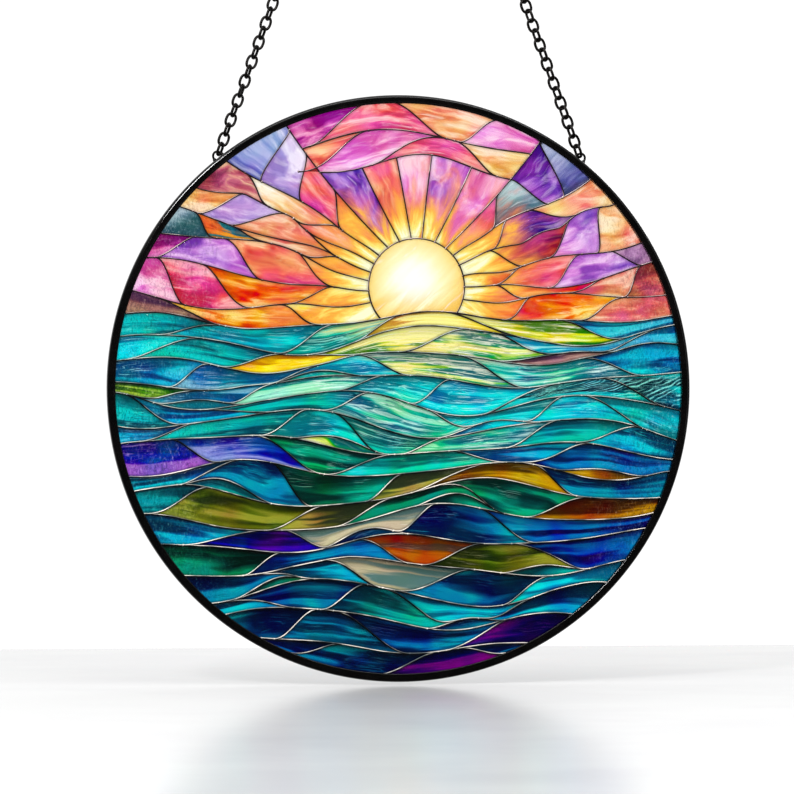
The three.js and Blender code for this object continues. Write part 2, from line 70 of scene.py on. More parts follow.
world = bpy.data.worlds.new("studio")
scene.world = world
world.use_nodes = True
wt = world.node_tree
wt.nodes.clear()
w_out = wt.nodes.new("ShaderNodeOutputWorld")
w_seen, w_refl = wt.nodes.new("ShaderNodeBackground"), wt.nodes.new("ShaderNodeBackground")
w_mix, w_path = wt.nodes.new("ShaderNodeMixShader"), wt.nodes.new("ShaderNodeLightPath")
w_tc, w_sep = wt.nodes.new("ShaderNodeTexCoord"), wt.nodes.new("ShaderNodeSeparateXYZ")
w_mr, w_hi, w_add = wt.nodes.new("ShaderNodeMapRange"), wt.nodes.new("ShaderNodeMapRange"), wt.nodes.new("ShaderNodeMath")
wt.links.new(w_tc.outputs["Generated"], w_sep.inputs[0])
wt.links.new(w_sep.outputs["Y"], w_mr.inputs["Value"])
wt.links.new(w_sep.outputs["Z"], w_hi.inputs["Value"])
for n, v in ((w_mr, (-0.3, 0.75, 0.035, 0.75)), (w_hi, (0.25, 0.9, 0.0, 0.55))):
    n.interpolation_type = "SMOOTHSTEP"
    for k, x in zip(("From Min", "From Max", "To Min", "To Max"), v):
        n.inputs[k].default_value = x
w_add.operation = "ADD"
wt.links.new(w_mr.outputs["Result"], w_add.inputs[0])
wt.links.new(w_hi.outputs["Result"], w_add.inputs[1])
wt.links.new(w_add.outputs[0], w_refl.inputs["Strength"])      # the room that shows in gloss: dim in front, bright above and behind
w_seen.inputs["Strength"].default_value = 1.10                 # the even white that is seen straight or through the glass
for w in (w_seen, w_refl):
    w.inputs["Color"].default_value = (1, 1, 1, 1)
w_not, w_and = wt.nodes.new("ShaderNodeMath"), wt.nodes.new("ShaderNodeMath")
w_not.operation, w_and.operation = "SUBTRACT", "MULTIPLY"
w_not.inputs[0].default_value = 1.0
wt.links.new(w_path.outputs["Is Transmission Ray"], w_not.inputs[1])
wt.links.new(w_not.outputs[0], w_and.inputs[0])
wt.links.new(w_path.outputs["Is Glossy Ray"], w_and.inputs[1])
wt.links.new(w_and.outputs[0], w_mix.inputs[0])
wt.links.new(w_seen.outputs[0], w_mix.inputs[1])
wt.links.new(w_refl.outputs[0], w_mix.inputs[2])
wt.links.new(w_mix.outputs[0], w_out.inputs["Surface"])


def area_light(name, loc, target, size, size_y, power, colour=(1, 1, 1)):
    d = bpy.data.lights.new(name, "AREA")
    d.shape = "RECTANGLE"
    d.size, d.size_y, d.energy, d.color = size, size_y, power, colour
    o = bpy.data.objects.new(name, d)
    scene.collection.objects.link(o)
    o.location = loc
    o.rotation_mode = "QUATERNION"
    o.rotation_quaternion = (Vector(target) - Vector(loc)).to_track_quat("-Z", "Y")
    o.visible_camera = False
    o.visible_transmission = False
    return o


area_light("key", PANEL + Vector((-0.50, -1.05, 0.66)), PANEL, 0.16, 0.30, 11.0)
area_light("strip", PANEL + Vector((0.0, -0.55, 1.05)), PANEL, 1.5, 0.12, 4.0)
area_light("fill", PANEL + Vector((0.9, -0.7, 0.25)), PANEL, 0.10, 0.8, 0.35)
area_light("rear", PANEL + Vector((0.5, 0.9, 0.5)), PANEL, 0.3, 0.6, 3.0)

# ------------------------------------------------------------------ small helpers
def lerp(a, b, f):
    return a + (b - a) * f


def smooth(w):
    w = max(0.0, min(1.0, w))
    return w * w * (3 - 2 * w)


def rng(seed):
    st = [seed]

    def f(a=0.0, b=1.0):
        st[0] = (st[0] * 16807) % 2147483647
        return a + (b - a) * (st[0] / 2147483647)
    return f


def root(g, lo, hi):
    first = g(lo) > 0
    for _ in range(42):
        m = (lo + hi) / 2
        if (g(m) > 0) == first:
            lo = m
        else:
            hi = m
    return (lo + hi) / 2


def make_object(name, verts, faces, smooth_faces=True, mats=(), face_mats=None):
    me = bpy.data.meshes.new(name)
    me.from_pydata(verts, [], faces)
    me.validate()
    me.update()
    if smooth_faces:
        me.polygons.foreach_set("use_smooth", [True] * len(me.polygons))
    for m in mats:
        me.materials.append(m)
    if face_mats:
        me.polygons.foreach_set("material_index", face_mats)
    o = bpy.data.objects.new(name, me)
    scene.collection.objects.link(o)
    return o


# ------------------------------------------------------------------ the layout of the panel (mm, from its middle)
R = 146.5                                           # edge of the glass
SX, SZ, SR = 8.5, 52.0, 24.7                        # the sun
ROWS, Z0, Z1, G_MIN = 14, 36.0, -131.0, 5.0
_waves = {}


def wave(k, x):
    key = (k, x)
    if key in _waves:
        return _waves[key]
    if k == 0:
        z = 36.2 + 2.3 * sin(x / 24 + 0.9) + 1.1 * sin(x / 11) - 3.6 * exp(-((x + 66) / 46) ** 2)
    else:
        f = k / ROWS
        row = Z0 + (Z1 - Z0) * (0.86 * f + 0.14 * f * f)
        a, l = 4.9 + 1.5 * sin(1.7 * k), 23.5 + 3.4 * sin(2.3 * k + 1)
        z = row + a * sin(x / l + 0.78 * k) + sin(x / 12 + 2.1 * k) + 0.032 * x * sin(0.8 * k + 0.5)
        b = wave(k - 1, x) - G_MIN
        d = max(3 - abs(z - b), 0) / 3
        z = min(z, b) - d * d * 3 * 0.25
    _waves[key] = z
    return z


CRESTS = [(2, 50, 112, 6.0), (3, -66, -20, 5.4), (4, -126, -80, 5.4), (5, 20, 72, 6.0), (6, -56, -6, 5.8),
          (7, 80, 128, 5.4), (8, -112, -66, 6.0), (9, 8, 54, 5.6), (10, -40, 4, 5.2), (11, 52, 98, 5.6),
          (12, -84, -44, 5.4), (13, 14, 54, 5.4)]
CRESTS = [(k, a, b, min(h, 0.5 * (wave(k - 1, (a + b) / 2) - wave(k, (a + b) / 2)))) for k, a, b, h in CRESTS]


def crest(k, x):
    h = 0.0
    for kk, a, b, top in CRESTS:
        if kk == k and a < x < b:
            h = max(h, top * sin(pi * (x - a) / (b - a)) ** 1.5)
    return h


def sec(a, b):
    return lambda w: a + (b - a) * w


strips = []                                         # dicts: node, P(t, s), sides, kind
rnd = rng(4711)
for k in range(ROWS + 1):
    last = k == ROWS

    def P(t, s, k=k, last=last):
        lo = -sqrt(max(0.0, R * R - t * t)) if last else wave(k + 1, t) + crest(k + 1, t)
        return (t, lerp(lo, wave(k, t), s))
    if last:
        xl = root(lambda x: x * x + wave(k, x) ** 2 - R * R, -R, 0.0)
        xr = root(lambda x: x * x + wave(k, x) ** 2 - R * R, R, 0.0)
        L, E = (lambda w, v=xl: v), (lambda w, v=xr: v)
    else:
        L = lambda w, P=P: root(lambda x: x * x + P(x, smooth(w))[1] ** 2 - R * R, -R, 0.0)
        E = lambda w, P=P: root(lambda x: x * x + P(x, smooth(w))[1] ** 2 - R * R, R, 0.0)
    l0, l1, r0, r1 = L(0), L(1), E(0), E(1)
    sides, pa, pb = [L], l0, l1
    up = 1 if rnd() < 0.5 else -1
    x = max(l0, l1) + rnd(16, 44)
    while x < min(r0, r1) - 16:
        run = rnd(20, 42) * up
        if rnd() < 0.62:
            up = -up
        a, b = x - run / 2, x + run / 2
        if a < pa + 2:
            a = max(a, pa + rnd(2, 9))
        if b < pb + 2:
            b = max(b, pb + rnd(2, 9))
        if a > r0 - 4 or b > r1 - 4:
            break
        sides.append(sec(a, b))
        pa, pb = a, b
        x += rnd(34, 62)
    sides.append(E)
    strips.append(dict(node="glass_wave_%d" % (k + 1), key="w%d" % k, P=P, sides=sides, kind="sea"))
for k, a, b, h in CRESTS:
    strips.append(dict(node="glass_crest_%d" % k, key="c%d" % k, P=lambda t, s, k=k: (t, wave(k, t) + s * crest(k, t)),
                       sides=[sec(a + 1.2, a + 1.2), sec(b - 1.2, b - 1.2)], kind="crest"))


def fan(theta, phi, alpha, reach, wob, n, ph, lobes=0.0):
    th, al = radians(theta), radians(alpha)
    p0 = (SX + SR * 0.7 * cos(th), SZ + SR * 0.7 * sin(th))
    p1 = (SX + SR * reach * cos(th), SZ + SR * reach * sin(th))
    p3 = (R * 1.05 * cos(radians(phi)), R * 1.05 * sin(radians(phi)))
    p2 = (p3[0] + 48 * cos(al), p3[1] + 48 * sin(al))

    def f(t):
        u = 1 - t
        x = [u * u * u * p0[i] + 3 * u * u * t * p1[i] + 3 * u * t * t * p2[i] + t * t * t * p3[i] for i in (0, 1)]
        d = [3 * (u * u * (p1[i] - p0[i]) + 2 * u * t * (p2[i] - p1[i]) + t * t * (p3[i] - p2[i])) for i in (0, 1)]
        m = hypot(*d) or 1
        o = wob * sin(2 * pi * (n * t + ph)) * smooth((t - 0.12) / 0.3)
        if lobes:
            o += lobes * smooth((t - 0.3) / 0.3) * (sqrt(sin(pi * (4.2 * t + ph)) ** 2 + 0.05) - 0.6)
        return (x[0] - d[1] / m * o, x[1] + d[0] / m * o)
    return f


def ray(theta, phi, bend):
    p0 = (SX + SR * 0.7 * cos(radians(theta)), SZ + SR * 0.7 * sin(radians(theta)))
    p2 = (R * 1.05 * cos(radians(phi)), R * 1.05 * sin(radians(phi)))
    p1 = ((p0[0] + p2[0]) / 2 + bend, (p0[1] + p2[1]) / 2)
    return lambda t: tuple((1 - t) ** 2 * p0[i] + 2 * t * (1 - t) * p1[i] + t * t * p2[i] for i in (0, 1))


def horizon_l(t):
    x = lerp(SX - SR * 0.55, -R * 1.03, t)
    return (x, wave(0, x))


def horizon_r(t):
    x = lerp(SX + SR * 0.55, R * 1.03, t)
    return (x, wave(0, x))


LEFT = [horizon_l, fan(200, 161.5, -8, 1.9, 2.6, 1.6, 0.15), fan(186, 155.5, 4, 1.9, 2.4, 1.3, 0.6),
        fan(174, 149.5, 12, 1.9, 2.6, 1.5, 0.05), fan(163, 143, -6, 2.0, 2.8, 1.2, 0.45),
        fan(152, 136.5, -14, 2.1, 2.4, 1.4, 0.8, 2.2), fan(140, 127.5, -40, 2.2, 2.4, 1.0, 0.2), ray(122, 114, -8)]
RIGHT = [horizon_r, fan(-16, 18.5, 176, 1.9, 2.4, 1.5, 0.5), fan(0, 25, 196, 1.9, 2.4, 1.3, 0),
         fan(14, 31.5, 204, 1.9, 2.6, 1.4, 0.45), fan(27, 38.5, 196, 2.0, 2.4, 1.2, 0.15, 2.8),
         fan(41, 48, 222, 2.2, 2.4, 1.1, 0.7), ray(57, 60, 7)]
CUTS_L = [[(0.24, 0.46), (0.60, 0.86)], [(0.42, 0.24), (0.54, 0.74), (0.76, 0.90)], [(0.24, 0.42), (0.52, 0.70), (0.90, 0.80)],
          [(0.40, 0.24), (0.52, 0.72), (0.72, 0.88)], [(0.26, 0.44), (0.74, 0.56), (0.86, 0.76)], [(0.52, 0.32), (0.64, 0.86)],
          [(0.30, 0.48), (0.56, 0.72), (0.78, 0.88)]]
CUTS_R = [[(0.24, 0.42), (0.54, 0.80)], [(0.40, 0.24), (0.54, 0.74), (0.78, 0.90)], [(0.24, 0.40), (0.50, 0.70), (0.90, 0.82)],
          [(0.42, 0.26), (0.54, 0.74), (0.76, 0.88)], [(0.28, 0.46), (0.78, 0.60)], [(0.34, 0.50), (0.72, 0.60), (0.80, 0.90)]]


def between(A, B):
    def P(t, s):
        a, b = A(t), B(t)
        return (lerp(a[0], b[0], s), lerp(a[1], b[1], s))
    return P


def on_rim(P, s):
    return root(lambda t: hypot(*P(t, s)) - R, 0.3, 1.0)


def on_sun(P, s):
    return root(lambda t: hypot(P(t, s)[0] - SX, P(t, s)[1] - SZ) - SR, 0.0, 0.35)


for side, key, rails, cuts in (("left", "l", LEFT, CUTS_L), ("right", "r", RIGHT, CUTS_R)):
    for j in range(len(rails) - 1):
        P = between(rails[j], rails[j + 1])
        sides = [lambda w, P=P: on_sun(P, smooth(w))] + [sec(a, b) for a, b in cuts[j]] + [lambda w, P=P: on_rim(P, smooth(w))]
        strips.append(dict(node="glass_sky_%s_%d" % (side, j + 1), key="%s%d" % (key, j), P=P, sides=sides, kind="sky"))


def garland(x):
    return 116.5 + 3.4 * sin(x / 13 + 0.6) - 0.0018 * (x - 4) ** 2 * 1.2


def crown(x):
    return 130.0 + 2.6 * sin(x / 17 + 2.2) - 0.0022 * (x - 2) ** 2


XL, XR = LEFT[-1], RIGHT[-1]
RAYS = [(107, 103.5, -3), (95.5, 93.5, 1.5), (83, 82, -1.5), (70.5, 71, 3.5)]
RAIL = [XL] + [ray(*r) for r in RAYS] + [XR]
for j in range(len(RAIL) - 1):
    P = between(RAIL[j], RAIL[j + 1])

    def end(w, P=P):
        s = smooth(w)
        return root(lambda t: P(t, s)[1] - garland(P(t, s)[0]), 0.2, 1.0)
    strips.append(dict(node="glass_ray_%d" % (j + 1), key="ray%d" % j, P=P, sides=[lambda w, P=P: on_sun(P, smooth(w)), end], kind="ray"))


def side_x(line, x, z):
    return x - line(root(lambda t: line(t)[1] - z, 0.0, 1.0))[0]


for node, P, cuts in (("garland", lambda t, s: (t, lerp(garland(t), crown(t), s)), [(-52, -16), (-14, 24), (50, 28)]),
                      ("crown", lambda t, s: (t, lerp(crown(t), sqrt(max(0.0, R * R - t * t)), s)), [(-46, -16), (24, -6), (30, 52)])):
    Lf = lambda w, P=P: root(lambda x: side_x(XL, x, P(x, smooth(w))[1]), -100, 0)
    Rf = lambda w, P=P: root(lambda x: side_x(XR, x, P(x, smooth(w))[1]), 100, 0)
    strips.append(dict(node="glass_" + node, key=node[0], P=P, sides=[Lf] + [sec(a, b) for a, b in cuts] + [Rf], kind="sky"))


def P_sun(t, s):
    c = sqrt(max(0.0, SR * SR - (t - SX) ** 2))
    return (t, lerp(max(SZ - c, wave(0, t)), SZ + c, s))


strips.append(dict(node="glass_sun", key="sun", P=P_sun, sides=[sec(SX - SR, SX - SR), sec(SX + SR, SX + SR)], kind="sun"))

# the lines of the leading: the long ones, and the short ones that part the pieces of a strip
def sample(f, a, b, n):
    return [f(lerp(a, b, i / n)) for i in range(n + 1)]


lines, knots = [], []
for k in range(ROWS + 1):
    g = lambda x, k=k: x * x + wave(k, x) ** 2 - R * R
    a, b = root(g, -R - 1, 0), root(g, R + 1, 0)
    lines.append(sample(lambda x: (x, wave(k, x)), a, b, max(40, int((b - a) / 1.6))))
for k, a, b, h in CRESTS:
    lines.append(sample(lambda x: (x, wave(k, x) + crest(k, x)), a, b, 40))
    knots += [(a, wave(k, a)), (b, wave(k, b))]
for group in (LEFT[1:], RIGHT[1:]):
    for f in group:
        a = root(lambda t: hypot(f(t)[0] - SX, f(t)[1] - SZ) - SR, 0, 0.4)
        b = root(lambda t: hypot(*f(t)) - R, 0.3, 1)
        lines.append(sample(f, a, b, 80))
        knots.append(f(a))
for f in RAIL[1:-1]:
    a = root(lambda t: hypot(f(t)[0] - SX, f(t)[1] - SZ) - SR, 0, 0.4)
    b = root(lambda t: f(t)[1] - garland(f(t)[0]), 0.2, 1)
    lines.append(sample(f, a, b, 40))
    knots += [f(a), f(b)]
for h in (garland, crown):
    a = root(lambda x: side_x(XL, x, h(x)), -100, 0)
    b = root(lambda x: side_x(XR, x, h(x)), 100, 0)
    lines.append(sample(lambda x: (x, h(x)), a, b, 70))
    knots += [(a, h(a)), (b, h(b))]
g = lambda a: SZ + SR * sin(a) - wave(0, SX + SR * cos(a))
a0, a1 = root(g, radians(-80), radians(20)), root(g, radians(260), radians(160))
lines.append(sample(lambda a: (SX + SR * cos(a), SZ + SR * sin(a)), a0, a1, 96))
knots += [(SX + SR * cos(a), SZ + SR * sin(a)) for a in (a0, a1)]
for st in strips:
    for f in st["sides"][1:-1]:
        ends = [st["P"](f(0), 0.0), st["P"](f(1), 1.0)]
        n = max(14, int(hypot(ends[1][0] - ends[0][0], ends[1][1] - ends[0][1]) / 1.3))
        lines.append([st["P"](f(i / n), smooth(i / n)) for i in range(n + 1)])
        knots += ends


# ------------------------------------------------------------------ materials
def lin(h, k=1.0):
    c = [int(h[i:i + 2], 16) / 255 for i in (0, 2, 4)]
    return tuple((v / 12.92 if v <= 0.04045 else ((v + 0.055) / 1.055) ** 2.4) * k for v in c) + (1,)


class Nodes:
    def __init__(self, name):
        self.mat = bpy.data.materials.new(name)
        self.mat.use_nodes = True
        self.t = self.mat.node_tree
        self.t.nodes.clear()
        self.out = self.t.nodes.new("ShaderNodeOutputMaterial")
        self.bsdf = self.t.nodes.new("ShaderNodeBsdfPrincipled")
        self.t.links.new(self.bsdf.outputs[0], self.out.inputs["Surface"])

    def put(self, socket, v):
        if isinstance(v, bpy.types.NodeSocket):
            self.t.links.new(v, socket)
        else:
            socket.default_value = v

    def set(self, **kw):
        for k, v in kw.items():
            self.put(self.bsdf.inputs[k.replace("_", " ")], v)

    def attr(self, name):
        n = self.t.nodes.new("ShaderNodeAttribute")
        n.attribute_name = name
        return n.outputs["Vector"]

    def place(self):
        return self.t.nodes.new("ShaderNodeTexCoord").outputs["Object"]

    def sep(self, v):
        n = self.t.nodes.new("ShaderNodeSeparateXYZ")
        self.put(n.inputs[0], v)
        return n.outputs

    def join(self, x, y, z):
        n = self.t.nodes.new("ShaderNodeCombineXYZ")
        for s, v in zip(n.inputs, (x, y, z)):
            self.put(s, v)
        return n.outputs[0]

    def math(self, op, a, b=0.0, clamp=False):
        n = self.t.nodes.new("ShaderNodeMath")
        n.operation = op
        n.use_clamp = clamp
        self.put(n.inputs[0], a)
        self.put(n.inputs[1], b)
        return n.outputs[0]

    def vec(self, op, a, b):
        n = self.t.nodes.new("ShaderNodeVectorMath")
        n.operation = op
        self.put(n.inputs[0], a)
        self.put(n.inputs[1], b)
        return n.outputs["Value" if op in ("DISTANCE", "LENGTH", "DOT_PRODUCT") else "Vector"]

    def noise(self, v, scale=1.0, detail=3.0, rough=0.5, dist=0.0, colour=False):
        n = self.t.nodes.new("ShaderNodeTexNoise")
        self.put(n.inputs["Vector"], v)
        n.inputs["Scale"].default_value = scale
        n.inputs["Detail"].default_value = detail
        n.inputs["Roughness"].default_value = rough
        n.inputs["Distortion"].default_value = dist
        return n.outputs["Color" if colour else 0]

    def voronoi(self, v, scale=1.0, feature="F1"):
        n = self.t.nodes.new("ShaderNodeTexVoronoi")
        n.feature = feature
        self.put(n.inputs["Vector"], v)
        n.inputs["Scale"].default_value = scale
        return n.outputs["Distance"]

    def span(self, v, a, b, c=0.0, d=1.0, kind="SMOOTHSTEP"):
        n = self.t.nodes.new("ShaderNodeMapRange")
        n.interpolation_type = kind
        self.put(n.inputs["Value"], v)
        for key, x in (("From Min", a), ("From Max", b), ("To Min", c), ("To Max", d)):
            self.put(n.inputs[key], x)
        return n.outputs["Result"]

    def ramp(self, v, stops):
        n = self.t.nodes.new("ShaderNodeValToRGB")
        self.put(n.inputs["Fac"], v)
        e = n.color_ramp.elements
        while len(e) < len(stops):
            e.new(0.5)
        for i, (p, c) in enumerate(stops):
            e[i].position, e[i].color = p, c
        return n.outputs["Color"]

    def mix(self, f, a, b, kind="MIX"):
        n = self.t.nodes.new("ShaderNodeMix")
        n.data_type = "RGBA"
        n.blend_type = kind
        self.put(n.inputs[0], f)
        self.put(n.inputs[6], a)
        self.put(n.inputs[7], b)
        return n.outputs[2]

    def bump(self, h, strength, distance):
        n = self.t.nodes.new("ShaderNodeBump")
        n.inputs["Strength"].default_value = strength
        n.inputs["Distance"].default_value = distance
        self.put(n.inputs["Height"], h)
        return n.outputs[0]


# sheets of glass by name: four tones from dark to light, the way the sheet is streaked, and its stroke colour
SHEETS = {
    "gold": ("cloud", "E07030 F49838 FBC050 FFE68C", "FFF6C8"), "flame": ("cloud", "D84A34 EE7038 F89A4C FCCC84", "FFE8B4"),
    "orange": ("cloud", "D45C28 EC8236 F4A44C FBCE86", "FFE6B4"), "coral": ("cloud", "D8505A EE7468 F69880 FBC4A4", "FFDCC0"),
    "salmon": ("cloud", "CC6258 E4806A F0A488 F8CCB0", "FFE4D0"), "peach": ("cloud", "DC8254 F0A674 F8C898 FCE4C4", "FFF2DC"),
    "cream": ("cloud", "E8A468 F4C890 FAE0B4 FFF2D8", "FFFFFF"), "rose": ("cloud", "CC4470 EC6088 F4889C FBB8BC", "FFDCE0"),
    "rosewood": ("cloud", "8C3C58 B45670 D07C88 F0C4A8", "FCE2C0"), "pink": ("cloud", "D25CAA E682C0 F2A6D2 FBD0E4", "FFECF6"),
    "magenta": ("cloud", "8A2078 B4409A D868B4 EE9CD0", "F8C8EA"), "violet": ("cloud", "4A1E7C 6E38A4 9458C0 C08CDC", "E8C8F4"),
    "orchid": ("cloud", "8C48B0 B068C8 D090DC ECC0EE", "FCE4FC"), "lilac": ("cloud", "9C80C4 B89CD8 D4BEE6 EEE2F6", "FFFFFF"),
    "lavender": ("grain", "6878B8 8898D0 A8B0DE D0D0EE", "F4F4FF"), "mauve": ("cloud", "6C4070 90608C B484A8 D8B0C8", "F0D8E4"),
    "umber": ("grain", "42284C 684058 8A5C60 B4887C", "D8B4A0"), "brick": ("grain", "7C2C30 A04440 C06450 E09470", "F4BC98"),
    "dusk": ("grain", "3C3C6C 56589C 7C80B4 A8A8D0", "D4D4F0"), "slate": ("stroke", "38606C 587C88 809CA8 B0C4CC", "DCE8EC"),
    "cloudteal": ("two", "14606C 2C8890 D07838 F09C50", "FCC890"), "night": ("stroke", "142C64 28508C 3C7CA8 68ACC4", "A8D8E0"),
    "wine": ("cloud", "581040 8C2450 B4405C DC7078", "F8A490"),
    "sungold": ("stroke", "C07C10 E4A818 F8D434 FFEC80", "FFFCD8"), "lime": ("foam", "3C7C28 90B028 DCE040 FCFCB4", "FFFFF0"),
    "spring": ("foam", "04686C 1C9474 74C050 ECF0A0", "FFFFEC"), "foam": ("foam", "04707C 0C9490 40C4A8 B4F0D4", "E8FFF4"),
    "aqua": ("stroke", "007884 069CA8 22C4C8 78E4E0", "C8FCF6"), "turquoise": ("stroke", "007C9C 02A8BC 14CCD8 68E8E8", "C8FCFA"),
    "teal": ("stroke", "00505E 047C86 12A2A4 4CC8C0", "A0ECE2"), "deepteal": ("stroke", "013C54 045C70 08868C 24B0B0", "74E0D8"),
    "feather": ("feather", "042838 085060 148890 50D8D4", "B4FFF8"), "emerald": ("stroke", "023C38 045C50 0A8468 34B890", "98ECCC"),
    "bottle": ("stroke", "02322C 065048 0A7058 24A080", "60D4AC"), "azure": ("stroke", "0A4C7C 1074A0 2C98BC 70C4DC", "BCECF4"),
    "ribbon": ("stroke", "2C90B8 5CB8D0 98DCE4 DCF4F4", "FFFFFF"), "steel": ("stroke", "24547C 3C749C 5C98B8 94C0D4", "CCE4F0"),
    "peri": ("stroke", "3C4894 5868B0 7C8CC4 ACB4E0", "D8D8F4"), "indigo": ("stroke", "182860 284480 3C68A4 5C98C4", "9CC0EC"),
    "purple": ("stroke", "1C0E5C 2C1A80 4228A0 6850BC", "9C88DC"), "amethyst": ("grain", "28308C 484CAC 7460B4 A888C8", "D4BCEC"),
    "navy": ("stroke", "062C5C 0A4678 146C94 2CA0BC", "70D8E8"), "ocean": ("stroke", "013C64 046490 0C90B4 34C4D8", "90ECF0"),
    "cobalt": ("stroke", "123A6C 1E5690 3078AC 58A4C8", "94CCEC"), "khaki": ("stroke", "3C4434 5C6440 888458 B4AC74", "DCD8A8"),
    "olive": ("stroke", "3A4428 5A6434 80884C A8A868", "D0CC98"), "ochre": ("stroke", "5C4020 86602C AC8440 D0AC60", "ECD098"),
    "rust": ("grain", "54301C 7C4C2C A07048 C89868", "E4BC94"), "moss": ("grain", "143820 285C30 4C8840 98C470", "D8F0B0"),
    "bark": ("stroke", "4C3444 704E54 907070 B4908C", "DCC0B8"), "ember": ("grain", "705850 94644E B0765C C88C6C", "E0B090"),
    "sand": ("grain", "7C9490 9CA49C B8B4A0 D4CCB8", "ECE4D4"), "plum": ("stroke", "201260 341C7C 5C2488 8C4898", "BC88C8"),
    "jade": ("foam", "04686A 088C84 28B4A4 6CDCC4", "C4FCEC"),
}
PIECES = {
    "l0": "gold orange umber", "l1": "flame orange rose pink", "l2": "flame coral orchid magenta",
    "l3": "flame salmon cloudteal slate", "l4": "orange salmon lilac peach", "l5": "peach cream rosewood",
    "l6": "coral rose lilac lavender", "ray0": "violet", "ray1": "coral", "ray2": "pink", "ray3": "orchid", "ray4": "pink",
    "g": "coral pink rose peach", "c": "magenta rose peach pink",
    "r0": "gold flame salmon", "r1": "coral flame salmon brick", "r2": "flame rose orchid mauve",
    "r3": "flame wine orchid peach", "r4": "coral violet peach", "r5": "rose slate violet dusk",
    "w0": "teal aqua jade sungold lime azure", "w1": "turquoise teal sungold lime spring ribbon azure",
    "w2": "azure steel turquoise spring foam ocean", "w3": "moss steel foam aqua turquoise feather feather",
    "w4": "teal azure teal foam aqua turquoise aqua", "w5": "azure teal aqua jade foam teal ocean",
    "w6": "amethyst peri emerald jade azure indigo", "w7": "ocean navy emerald khaki ochre navy",
    "w8": "deepteal olive khaki bottle emerald rust", "w9": "ocean purple sand navy indigo",
    "w10": "bottle cobalt ember olive indigo", "w11": "navy ocean sand navy turquoise",
    "w12": "ocean navy teal turquoise ocean", "w13": "navy ocean indigo plum", "w14": "indigo navy plum navy",
    "c2": "bark", "c3": "jade", "c4": "aqua", "c5": "turquoise", "c6": "spring", "c7": "ochre", "c8": "teal", "c9": "emerald",
    "c10": "navy", "c11": "teal", "c12": "bottle", "c13": "navy",
}


